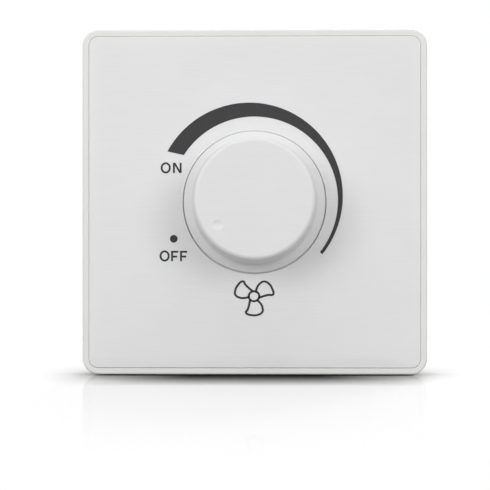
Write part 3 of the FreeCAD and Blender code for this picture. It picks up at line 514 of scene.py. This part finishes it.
def ringed_lacquer():
    """Tan lacquer with rings of colour, placed along the body of each resistor in the row."""
    material, tree, shader = start_material("ringed_lacquer", RESISTOR_ROUGHNESS)
    low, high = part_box("resistors")
    bodies = sorted(place[0] for place in loose_places("resistors", 0.0))
    pitch = bodies[1] - bodies[0]
    span = (high.x - low.x) - pitch * (RESISTOR_COUNT - 1)
    place = add_node(tree, "ShaderNodeTexCoord").outputs["Object"]
    along = add_node(tree, "ShaderNodeSeparateXYZ", {"Vector": place}).outputs["X"]
    within = reckon(tree, "FLOORED_MODULO", reckon(tree, "SUBTRACT", along, low.x), pitch)
    share = reckon(tree, "DIVIDE", within, span)
    ramp = add_node(tree, "ShaderNodeValToRGB", {"Fac": share})
    ramp.color_ramp.interpolation = "CONSTANT"
    ramp.color_ramp.elements[0].color = shade(RESISTOR_TAN, 1.0)
    ramp.color_ramp.elements.remove(ramp.color_ramp.elements[1])
    for index, colour in enumerate(RING_COLOURS):
        start = RING_FIRST + RING_STEP * index
        ramp.color_ramp.elements.new(start).color = shade(colour, 1.0)
        ramp.color_ramp.elements.new(start + RING_WIDTH).color = shade(RESISTOR_TAN, 1.0)
    tree.links.new(ramp.outputs["Color"], shader.inputs["Base Color"])
    raised(tree, shader, grain(tree, RESISTOR_SWELL), RESISTOR_RELIEF)
    return material


dress("snubber_capacitor", dipped_coat("box_yellow", BOX_YELLOW))
dress("timing_capacitor", dipped_coat("dip_red", DIP_RED))
dress("component_leads", tinned_metal)
dress("resistors", ringed_lacquer(), RESISTOR_EDGE)
dress("diac", dipped_coat("diode_blue", DIODE_BLUE), DIODE_EDGE)


# Wire terminals: two brass pillars in a dark moulded block on the board's rear, each with a slotted steel
# screw that clamps the stripped wire in its cross hole.
BLOCK_GREY = (0.085, 0.09, 0.10)
BRASS_YELLOW = (0.66, 0.47, 0.17)
BLOCK_EDGE = 0.15 * MM
CLAMP_SCREW = {"Head Height": 1.6 * MM, "Shank Radius": 1.6 * MM, "Pitch": 0.7 * MM}
CLAMP_SLOT = {"Slot Width": 0.8 * MM, "Slot Length": 6.0 * MM, "Slot Depth": 0.8 * MM}
SCREW_SIDES = 48
SCREW_SEED = 7
DOME_SHARE = 0.42
DOME_STEPS = 6
TIP_RADIUS_SHARE = 0.7
TIP_LENGTH_SHARE = 0.4
THREAD_DEPTH = 0.16 * MM
THREAD_SUNK_SHARE = 0.6
THREAD_LENGTH_SHARE = 0.9
THREAD_STEPS = 20
THREAD_SIDES = 4


def screw_profile(head_radius, head_height, shank_radius, length):
    """Half outline of a pan-head screw from its tip to the crown of its head, along its own axis."""
    dome = head_height * DOME_SHARE
    points = [(0.0, -length), (shank_radius * TIP_RADIUS_SHARE, -length)]
    points += [(shank_radius, -length + shank_radius * TIP_LENGTH_SHARE)]
    points += [(shank_radius, 0.0), (head_radius, 0.0)]
    for step in range(DOME_STEPS + 1):
        angle = math.pi / 2 * step / DOME_STEPS
        inset = dome * (1 - math.cos(angle))
        drop = dome * (1 - math.sin(angle))
        points.append((head_radius - inset, head_height - drop))
    points.append((0.0, head_height))
    return points


def turned_mesh(name, profile, sides):
    """Turns a half outline about the Z axis into a closed mesh."""
    mesh = bmesh.new()
    line = [mesh.verts.new((radius, 0.0, height)) for radius, height in profile]
    edges = [mesh.edges.new(pair) for pair in zip(line, line[1:])]
    full_turn = {"cent": (0, 0, 0), "axis": (0, 0, 1), "angle": 2 * math.pi, "steps": sides}
    bmesh.ops.spin(mesh, geom=line + edges, use_merge=True, **full_turn)
    bmesh.ops.remove_doubles(mesh, verts=mesh.verts, dist=WELD_DISTANCE)
    bmesh.ops.recalc_face_normals(mesh, faces=mesh.faces)
    data = bpy.data.meshes.new(name)
    mesh.to_mesh(data)
    mesh.free()
    return data


def screw_tree(name, blank, cross):
    """Screws at the given points: a turned blank, its driver recess cut out, and a helical thread ridge."""
    sizes = ("Slot Width", "Slot Length", "Slot Depth", "Head Height", "Shank Radius")
    tree, given = new_tree(name, sizes + ("Thread Length", "Pitch"))
    turned = add_node(tree, "GeometryNodeObjectInfo", {"Object": blank}).outputs["Geometry"]
    twice = reckon(tree, "MULTIPLY", given["Slot Depth"], 2.0)
    slot_axes = {"X": given["Slot Length"], "Y": given["Slot Width"], "Z": twice}
    slot_size = add_node(tree, "ShaderNodeCombineXYZ", slot_axes).outputs["Vector"]
    crown = add_node(tree, "ShaderNodeCombineXYZ", {"Z": given["Head Height"]}).outputs["Vector"]
    cutter = add_node(tree, "GeometryNodeMeshCube", {"Size": slot_size}).outputs["Mesh"]
    for quarter in range(2 if cross else 1):
        lift = {"Geometry": cutter, "Translation": crown, "Rotation": (0.0, 0.0, quarter * math.pi / 2)}
        slot = add_node(tree, "GeometryNodeTransform", lift).outputs["Geometry"]
        bodies = {"Mesh 1": turned, "Mesh 2": slot}
        cut = add_node(tree, "GeometryNodeMeshBoolean", bodies, operation="DIFFERENCE", solver="MANIFOLD")
        turned = cut.outputs["Mesh"]
    rotations = reckon(tree, "DIVIDE", given["Thread Length"], given["Pitch"])
    helix = {"Resolution": THREAD_STEPS, "Rotations": rotations, "Height": given["Thread Length"]}
    helix.update({"Start Radius": given["Shank Radius"], "End Radius": given["Shank Radius"]})
    spiral = add_node(tree, "GeometryNodeCurveSpiral", helix).outputs["Curve"]
    section = {"Resolution": THREAD_SIDES, "Radius": THREAD_DEPTH}
    ridge = add_node(tree, "GeometryNodeCurvePrimitiveCircle", section).outputs["Curve"]
    path = {"Curve": spiral, "Profile Curve": ridge, "Fill Caps": True}
    thread = add_node(tree, "GeometryNodeCurveToMesh", path).outputs["Mesh"]
    sink = reckon(tree, "MULTIPLY", given["Thread Length"], -1.0)
    below = add_node(tree, "ShaderNodeCombineXYZ", {"Z": sink}).outputs["Vector"]
    lowered = add_node(tree, "GeometryNodeTransform", {"Geometry": thread, "Translation": below})
    screw = add_node(tree, "GeometryNodeJoinGeometry")
    for part in (turned, lowered.outputs["Geometry"]):
        tree.links.new(part, screw.inputs["Geometry"])
    turn = add_node(tree, "FunctionNodeRandomValue", data_type="FLOAT")
    turn.inputs[3].default_value = math.pi
    turn.inputs["Seed"].default_value = SCREW_SEED
    axis_back = {"X": -math.pi / 2, "Y": turn.outputs[1]}
    angles = add_node(tree, "ShaderNodeCombineXYZ", axis_back).outputs["Vector"]
    rotation = add_node(tree, "FunctionNodeEulerToRotation", {"Euler": angles}).outputs["Rotation"]
    copies = {"Points": given["Geometry"], "Instance": screw.outputs["Geometry"], "Rotation": rotation}
    close_tree(tree, given, add_node(tree, "GeometryNodeInstanceOnPoints", copies).outputs["Instances"])
    return tree


def drive_screws(node, screw, recess, cross, material):
    """Replaces a node of plain screws with turned ones that have a recess and a thread."""
    low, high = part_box(node)
    head_height = screw["Head Height"]
    shank_radius = screw["Shank Radius"]
    seat = high.y - head_height
    places = loose_places(node, seat)
    head_radius = high.x - max(place[0] for place in places)
    length = seat - low.y
    profile = screw_profile(head_radius, head_height, shank_radius, length)
    blank = link_piece(node + "_blank", turned_mesh(node + "_blank", profile, SCREW_SIDES))
    thread = {"Shank Radius": shank_radius - THREAD_DEPTH * THREAD_SUNK_SHARE}
    thread.update({"Thread Length": length * THREAD_LENGTH_SHARE, "Material": material})
    values = screw | recess | thread
    piece = grow(point_piece(node + "_turned", places), screw_tree(node, blank, cross), values)
    bpy.data.objects.remove(blank)
    settle(piece, node, material)
    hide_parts(node)


block_grey = moulded_plastic("block_grey", BLOCK_GREY, roughness=0.45, pit_depth=0.006 * MM)
brass = worked_metal("brass", BRASS_YELLOW, roughness=0.27, mark_size=0.08 * MM, stretch=(1.0, 12.0, 1.0))
dress("terminal_block", block_grey, BLOCK_EDGE)
dress("terminal_pillars", brass)
drive_screws("terminal_screws", CLAMP_SCREW, CLAMP_SLOT, cross=False, material=zinc_plate)


# Rear housing: a plain moulded box over the board, with slots for air, a notch for the wire terminals and
# four pan-head tapping screws that go through it and the board into the frame.
HOUSING_WHITE = (0.74, 0.74, 0.72)
HOUSING_EDGE = 0.2 * MM
TAPPING_SCREW = {"Head Height": 2.0 * MM, "Shank Radius": 1.45 * MM, "Pitch": 1.1 * MM}
CROSS_RECESS = {"Slot Width": 0.8 * MM, "Slot Length": 3.0 * MM, "Slot Depth": 1.0 * MM}

housing_white = moulded_plastic("housing_white", HOUSING_WHITE, roughness=0.5, pit_depth=0.012 * MM)
dress("rear_housing", housing_white, HOUSING_EDGE)
drive_screws("housing_screws", TAPPING_SCREW, CROSS_RECESS, cross=True, material=zinc_plate)


# Front cover: the square face that clips into the frame by four hooks, with a shallow round dish for the
# knob's skirt. It is moulded in the same white plastic, with faint level hairlines on its face.
COVER_WHITE = (0.80, 0.80, 0.80)
COVER_STREAKS = 0.30
COVER_EDGE = 0.06 * MM
FACE_ROUGHNESS = 0.42

cover_white = moulded_plastic("cover_white", COVER_WHITE, FACE_ROUGHNESS, POLISHED_PITS, COVER_STREAKS)
dress("front_cover", cover_white, COVER_EDGE)


# Print on the cover: the tapering speed scale and the OFF dot in dark grey ink, pad printed, with the words
# ON and OFF in plain capitals beside them.
INK_GREY = (0.042, 0.042, 0.044)
INK_SHEEN = 0.2
INK_ROUGHNESS = 0.5
INK_PATCH = 0.6 * MM
INK_TONE = 0.06
INK_RELIEF = 0.002 * MM
CAP_HEIGHT = 2.55 * MM
LETTER_STROKE = 0.47 * MM
OVAL_HALF_WIDTH = 1.25 * MM
OVAL_OVERSHOOT = 0.1 * MM
N_WIDTH = 2.14 * MM
N_SLANT = 1.25
N_NOTCH = 1.2
F_WIDTH = 1.75 * MM
F_MIDDLE = 0.53
F_ARM = 0.86
ON_HEIGHT = 8.45 * MM
ON_PLACES = (-21.99 * MM, -20.20 * MM)
OFF_HEIGHT = -13.37 * MM
OFF_PLACES = (-22.27 * MM, -20.66 * MM, -18.44 * MM)
ROUND_STEPS = 16


def pad_ink():
    """Thin matt ink, a little uneven where the pad laid it down."""
    material, tree, shader = start_material("pad_ink", INK_ROUGHNESS)
    shader.inputs["Specular IOR Level"].default_value = INK_SHEEN
    patches = grain(tree, INK_PATCH, detail=4.0)
    mottled(tree, shader, patches, INK_GREY, INK_TONE)
    raised(tree, shader, patches, INK_RELIEF)
    return material


def oval_outline(middle, half_width, half_height):
    """Four points of a smooth oval."""
    x, z = middle
    return [(x - half_width, z), (x, z + half_height), (x + half_width, z), (x, z - half_height)]


def letter_o(x, z):
    """Outer and inner ovals of a letter O about a middle."""
    half_height = CAP_HEIGHT / 2 + OVAL_OVERSHOOT
    outer = oval_outline((x, z), OVAL_HALF_WIDTH, half_height)
    inner = oval_outline((x, z), OVAL_HALF_WIDTH - LETTER_STROKE, half_height - LETTER_STROKE)
    return [(outer, True), (inner, True)]


def letter_n(left, z):
    """Outline of a letter N from its left edge."""
    bottom = z - CAP_HEIGHT / 2
    top = z + CAP_HEIGHT / 2
    right = left + N_WIDTH
    slant = LETTER_STROKE * N_SLANT
    notch = slant * N_NOTCH
    points = [(left, bottom), (left, top), (left + slant, top), (right - LETTER_STROKE, bottom + notch)]
    points += [(right - LETTER_STROKE, top), (right, top), (right, bottom), (right - slant, bottom)]
    points += [(left + LETTER_STROKE, top - notch), (left + LETTER_STROKE, bottom)]
    return [(points, False)]


def letter_f(left, z):
    """Outline of a letter F from its left edge."""
    bottom = z - CAP_HEIGHT / 2
    top = z + CAP_HEIGHT / 2
    middle = bottom + CAP_HEIGHT * F_MIDDLE
    stem = left + LETTER_STROKE
    arm = left + F_WIDTH * F_ARM
    points = [(left, bottom), (left, top), (left + F_WIDTH, top), (left + F_WIDTH, top - LETTER_STROKE)]
    points += [(stem, top - LETTER_STROKE), (stem, middle), (arm, middle), (arm, middle - LETTER_STROKE)]
    points += [(stem, middle - LETTER_STROKE), (stem, bottom)]
    return [(points, False)]


def trace(curve, points, rounded, closed):
    """Adds one outline to a curve, smooth or with straight sides."""
    spline = curve.splines.new("BEZIER")
    spline.bezier_points.add(len(points) - 1)
    for knot, (x, z) in zip(spline.bezier_points, points):
        knot.co = (x, z, 0.0)
        knot.handle_left_type = "AUTO" if rounded else "VECTOR"
        knot.handle_right_type = knot.handle_left_type
    spline.use_cyclic_u = closed
    spline.resolution_u = ROUND_STEPS if rounded else 1


def laid_on_face(name, curve):
    """Turns a flat drawing into a thin closed mesh of ink on the cover's face."""
    drawing = link_piece(name, curve)
    graph = bpy.context.evaluated_depsgraph_get()
    mesh = bpy.data.meshes.new_from_object(drawing.evaluated_get(graph), depsgraph=graph)
    bpy.data.objects.remove(drawing)
    place_on_face(link_piece(name, mesh))


def place_on_face(piece):
    """Stands a flat drawing up on the cover's face, sets its ink and lets it go with the base."""
    upright = Euler((math.pi / 2, 0.0, 0.0)).to_matrix().to_4x4()
    piece.data.transform(Matrix.Translation((0.0, ink_middle, 0.0)) @ upright)
    skin = bmesh.new()
    skin.from_mesh(piece.data)
    bmesh.ops.remove_doubles(skin, verts=skin.verts, dist=WELD_DISTANCE)
    bmesh.ops.recalc_face_normals(skin, faces=skin.faces)
    skin.to_mesh(piece.data)
    skin.free()
    piece.data.materials.clear()
    piece.data.materials.append(ink)
    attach(piece, "base")


ink = pad_ink()
scale_print = frame["nodes"]["speed_scale_print"].data
scale_print.materials.clear()
scale_print.materials.append(ink)
ink_front, ink_rear = (corner.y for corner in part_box("speed_scale_print"))
ink_middle = (ink_front + ink_rear) / 2
ink_thickness = ink_rear - ink_front
words = bpy.data.curves.new("words_on_off", "CURVE")
words.dimensions = "2D"
words.fill_mode = "BOTH"
words.extrude = ink_thickness / 2
outlines = letter_o(ON_PLACES[0], ON_HEIGHT) + letter_n(ON_PLACES[1], ON_HEIGHT)
outlines += letter_o(OFF_PLACES[0], OFF_HEIGHT)
for left in OFF_PLACES[1:]:
    outlines += letter_f(left, OFF_HEIGHT)
for points, rounded in outlines:
    trace(words, points, rounded, closed=True)
laid_on_face("words_on_off", words)


# Fan sign: three blades in outline round a hub, printed in the same ink below the knob. One blade is drawn
# and repeated a third of a turn apart.
SIGN_CENTRE = (-0.13 * MM, -23.33 * MM)
SIGN_STRETCH = (0.99, 0.95)
SIGN_LINE = 0.53 * MM
HUB_RADIUS = 1.30 * MM
HUB_SIDES = 64
BLADE_COUNT = 3
BLADE = ((0.43, 1.18), (0.88, 2.48), (1.43, 3.25), (2.58, 3.84), (3.81, 3.16), (4.53, 2.02), (4.86, 0.74))
BLADE_FOOT = ((4.70, 0.40), (3.81, 0.36), (2.79, 0.14), (1.17, -0.42))


def sign_tree():
    """Copies a blade's line round the hub, adds the hub's ring and gives every line its width."""
    tree, given = new_tree("fan sign", ("Line Width", "Line Height", "Hub Radius"))
    points = add_node(tree, "GeometryNodePoints", {"Count": BLADE_COUNT}).outputs["Points"]
    index = add_node(tree, "GeometryNodeInputIndex").outputs["Index"]
    angle = reckon(tree, "MULTIPLY", index, 2 * math.pi / BLADE_COUNT)
    euler = add_node(tree, "ShaderNodeCombineXYZ", {"Z": angle}).outputs["Vector"]
    rotation = add_node(tree, "FunctionNodeEulerToRotation", {"Euler": euler}).outputs["Rotation"]
    copies = {"Points": points, "Instance": given["Geometry"], "Rotation": rotation}
    blades = add_node(tree, "GeometryNodeInstanceOnPoints", copies).outputs["Instances"]
    real = add_node(tree, "GeometryNodeRealizeInstances", {"Geometry": blades}).outputs["Geometry"]
    ring = {"Resolution": HUB_SIDES, "Radius": given["Hub Radius"]}
    hub = add_node(tree, "GeometryNodeCurvePrimitiveCircle", ring).outputs["Curve"]
    lines = add_node(tree, "GeometryNodeJoinGeometry")
    for part in (real, hub):
        tree.links.new(part, lines.inputs["Geometry"])
    level = add_node(tree, "GeometryNodeSetCurveNormal", {"Curve": lines.outputs["Geometry"]}, mode="Z_UP")
    section = {"Width": given["Line Width"], "Height": given["Line Height"]}
    profile = add_node(tree, "GeometryNodeCurvePrimitiveQuadrilateral", section).outputs["Curve"]
    path = {"Curve": level.outputs["Curve"], "Profile Curve": profile, "Fill Caps": True}
    close_tree(tree, given, add_node(tree, "GeometryNodeCurveToMesh", path).outputs["Mesh"])
    return tree


blade = bpy.data.curves.new("fan_sign", "CURVE")
blade.dimensions = "3D"
trace(blade, [(x * MM, z * MM) for x, z in BLADE + BLADE_FOOT], rounded=True, closed=False)
drawing = link_piece("fan_sign", blade)
sign_sizes = {"Line Width": SIGN_LINE, "Line Height": ink_thickness, "Hub Radius": HUB_RADIUS}
fan_sign = grow(drawing, sign_tree(), sign_sizes | {"Material": ink})
fan_sign.data.transform(Matrix.Diagonal((SIGN_STRETCH[0], SIGN_STRETCH[1], 1.0, 1.0)))
fan_sign.data.transform(Matrix.Translation((SIGN_CENTRE[0], SIGN_CENTRE[1], 0.0)))
place_on_face(fan_sign)


# Knob: a hollow moulded cap pushed on the shaft, with a low skirt that turns in the cover's dish and a
# small thumb dimple that points at the setting.
KNOB_WHITE = (0.80, 0.80, 0.80)
KNOB_EDGE = 0.12 * MM
KNOB_STREAKS = 0.20

knob_white = moulded_plastic("knob_white", KNOB_WHITE, FACE_ROUGHNESS, POLISHED_PITS, KNOB_STREAKS)
dress("knob", knob_white, KNOB_EDGE)


# Studio: a white floor just under the plate that mirrors it faintly, with painted shade where the plate
# nearly touches it, and fades into a white room. Two soft lamps stand in front, one behind, and a wide soft
# box hangs overhead.
FLOOR_REACH = 4.0
FLOOR_GAP = 0.12 * MM
FLOOR_ALBEDO = 0.34
FLOOR_SEEN = 1.20
FLOOR_FADE = (0.05, 0.142)
PAINTED_SHADE_REACH = 23.0 * MM
PAINTED_SHADE_DEPTH = 4.4
PAINTED_SHADE_ENDS = (16.0 * MM, 46.0 * MM)
PAINTED_SHADE_END_SHARE = 0.2
PAINTED_SHADE_LEAST = (0.06, 0.72)
MIRROR_SHARE = 0.34
MIRROR_BLUR = 0.04
SIDE_LAMP_PLACE = Vector((0.60, -0.95, 0.30))
SIDE_LAMP_SIZE = 0.55
OTHER_SIDE = Vector((-1.0, 1.0, 1.0))
LEFT_LAMP_POWER = 4.6
RIGHT_LAMP_POWER = 3.75
TOP_LAMP_PLACE = Vector((0.0, -0.15, 1.80))
TOP_LAMP_SIZE = 1.8
TOP_LAMP_POWER = 7.8
REAR_LAMP_PLACE = Vector((0.35, 1.10, 0.50))
REAR_LAMP_SIZE = 0.8
REAR_LAMP_POWER = 8.0
ROOM_LIGHT = 0.43
CAMERA_PLACE = (1.1 * MM, -284.0 * MM, -15.0 * MM)
CAMERA_TURN = math.radians(0.72)
CAMERA_LENS = 81.65
CAMERA_RISE = 0.0358
CAMERA_NEAR = 10.0 * MM
SENSOR_WIDTH = 36.0


def seen_directly(tree):
    """One where the camera, a reflection or a clear piece sees the surface, and zero for other light."""
    path = add_node(tree, "ShaderNodeLightPath").outputs
    seen = path["Is Camera Ray"]
    for kind in ("Is Glossy Ray", "Is Transmission Ray"):
        seen = reckon(tree, "MAXIMUM", seen, path[kind])
    return seen


def studio_floor(level):
    """White floor with a faint mirror image and painted shade by the plate, fading to plain white away from
    the object.
    """
    mesh = bpy.data.meshes.new("studio_floor")
    corners = [(x, y, level) for x, y in ((-1, -1), (1, -1), (1, 1), (-1, 1))]
    mesh.from_pydata([(x * FLOOR_REACH, y * FLOOR_REACH, z) for x, y, z in corners], [], [(0, 1, 2, 3)])
    material = bpy.data.materials.new("studio_floor")
    material.use_nodes = True
    tree = material.node_tree
    tree.nodes.clear()
    seen = seen_directly(tree)
    levels = {"Value": seen, "To Min": FLOOR_ALBEDO, "To Max": FLOOR_SEEN}
    tone = add_node(tree, "ShaderNodeMapRange", levels).outputs["Result"]
    # Painted shade: the floor's colour is multiplied by its ambient occlusion raised to a power, darkest
    # mid-plate and lighter towards the plate's ends.
    open_share = add_node(tree, "ShaderNodeAmbientOcclusion", {"Distance": PAINTED_SHADE_REACH}).outputs["AO"]
    place = add_node(tree, "ShaderNodeTexCoord").outputs["Object"]
    across = add_node(tree, "ShaderNodeSeparateXYZ", {"Vector": place}).outputs["X"]
    aside = reckon(tree, "ABSOLUTE", across)
    ends = {"Value": aside, "From Min": PAINTED_SHADE_ENDS[0], "From Max": PAINTED_SHADE_ENDS[1]}
    depths = {"To Min": PAINTED_SHADE_DEPTH, "To Max": PAINTED_SHADE_DEPTH * PAINTED_SHADE_END_SHARE}
    depth = add_node(tree, "ShaderNodeMapRange", ends | depths).outputs["Result"]
    painted_occlusion = reckon(tree, "POWER", open_share, reckon(tree, "MULTIPLY", seen, depth))
    leasts = {"To Min": PAINTED_SHADE_LEAST[0], "To Max": PAINTED_SHADE_LEAST[1]}
    painted_shade_limit = add_node(tree, "ShaderNodeMapRange", ends | leasts).outputs["Result"]
    painted_contact_shade = reckon(tree, "MAXIMUM", painted_occlusion, painted_shade_limit)
    matt = add_node(tree, "ShaderNodeBsdfDiffuse", {"Color": reckon(tree, "MULTIPLY", tone, painted_contact_shade)})
    # The mirror image is darkened by the same painted shade.
    mirror = add_node(tree, "ShaderNodeBsdfGlossy", {"Color": painted_contact_shade, "Roughness": MIRROR_BLUR})
    near = add_node(tree, "ShaderNodeMixShader", {"Fac": reckon(tree, "MULTIPLY", seen, MIRROR_SHARE)})
    tree.links.new(matt.outputs["BSDF"], near.inputs[1])
    tree.links.new(mirror.outputs["BSDF"], near.inputs[2])
    distance = add_node(tree, "ShaderNodeVectorMath", {0: place}, operation="LENGTH").outputs["Value"]
    fade = {"Value": distance, "From Min": FLOOR_FADE[0], "From Max": FLOOR_FADE[1]}
    away = add_node(tree, "ShaderNodeMapRange", fade, interpolation_type="SMOOTHSTEP").outputs["Result"]
    white = add_node(tree, "ShaderNodeEmission", {"Strength": 1.0})
    mix = add_node(tree, "ShaderNodeMixShader", {"Fac": reckon(tree, "MULTIPLY", away, seen)})
    tree.links.new(near.outputs["Shader"], mix.inputs[1])
    tree.links.new(white.outputs["Emission"], mix.inputs[2])
    add_node(tree, "ShaderNodeOutputMaterial", {"Surface": mix.outputs["Shader"]})
    mesh.materials.append(material)
    link_piece("studio_floor", mesh)


def soft_lamp(name, place, size, power):
    """A square soft lamp aimed at the middle of the plate."""
    lamp = bpy.data.lights.new(name, "AREA")
    lamp.size = size
    lamp.energy = power
    holder = bpy.data.objects.new(name, lamp)
    holder.location = place
    holder.rotation_euler = (-place).to_track_quat("-Z", "Y").to_euler()
    bpy.context.scene.collection.objects.link(holder)


def pale_room():
    """Even light on the object, and plain white where the camera or a reflection sees the room."""
    world = bpy.data.worlds.new("pale_room")
    world.use_nodes = True
    tree = world.node_tree
    light = {"Value": seen_directly(tree), "To Min": ROOM_LIGHT, "To Max": 1.0}
    strength = add_node(tree, "ShaderNodeMapRange", light).outputs["Result"]
    tree.links.new(strength, tree.nodes["Background"].inputs["Strength"])
    tree.nodes["Background"].inputs["Color"].default_value = (1.0, 1.0, 1.0, 1.0)
    bpy.context.scene.world = world


studio_floor(cad_box[0].z - FLOOR_GAP)
soft_lamp("left_lamp", SIDE_LAMP_PLACE * OTHER_SIDE, SIDE_LAMP_SIZE, LEFT_LAMP_POWER)
soft_lamp("right_lamp", SIDE_LAMP_PLACE, SIDE_LAMP_SIZE, RIGHT_LAMP_POWER)
soft_lamp("top_lamp", TOP_LAMP_PLACE, TOP_LAMP_SIZE, TOP_LAMP_POWER)
soft_lamp("rear_lamp", REAR_LAMP_PLACE, REAR_LAMP_SIZE, REAR_LAMP_POWER)
pale_room()
camera = bpy.data.cameras.new("camera")
camera.lens = CAMERA_LENS
camera.sensor_width = SENSOR_WIDTH
camera.shift_y = CAMERA_RISE
camera.clip_start = CAMERA_NEAR
viewer = bpy.data.objects.new("camera", camera)
viewer.location = CAMERA_PLACE
viewer.rotation_euler = (math.pi / 2, 0.0, CAMERA_TURN)
bpy.context.scene.collection.objects.link(viewer)
bpy.context.scene.camera = viewer
bpy.context.scene.view_settings.view_transform = "Standard"
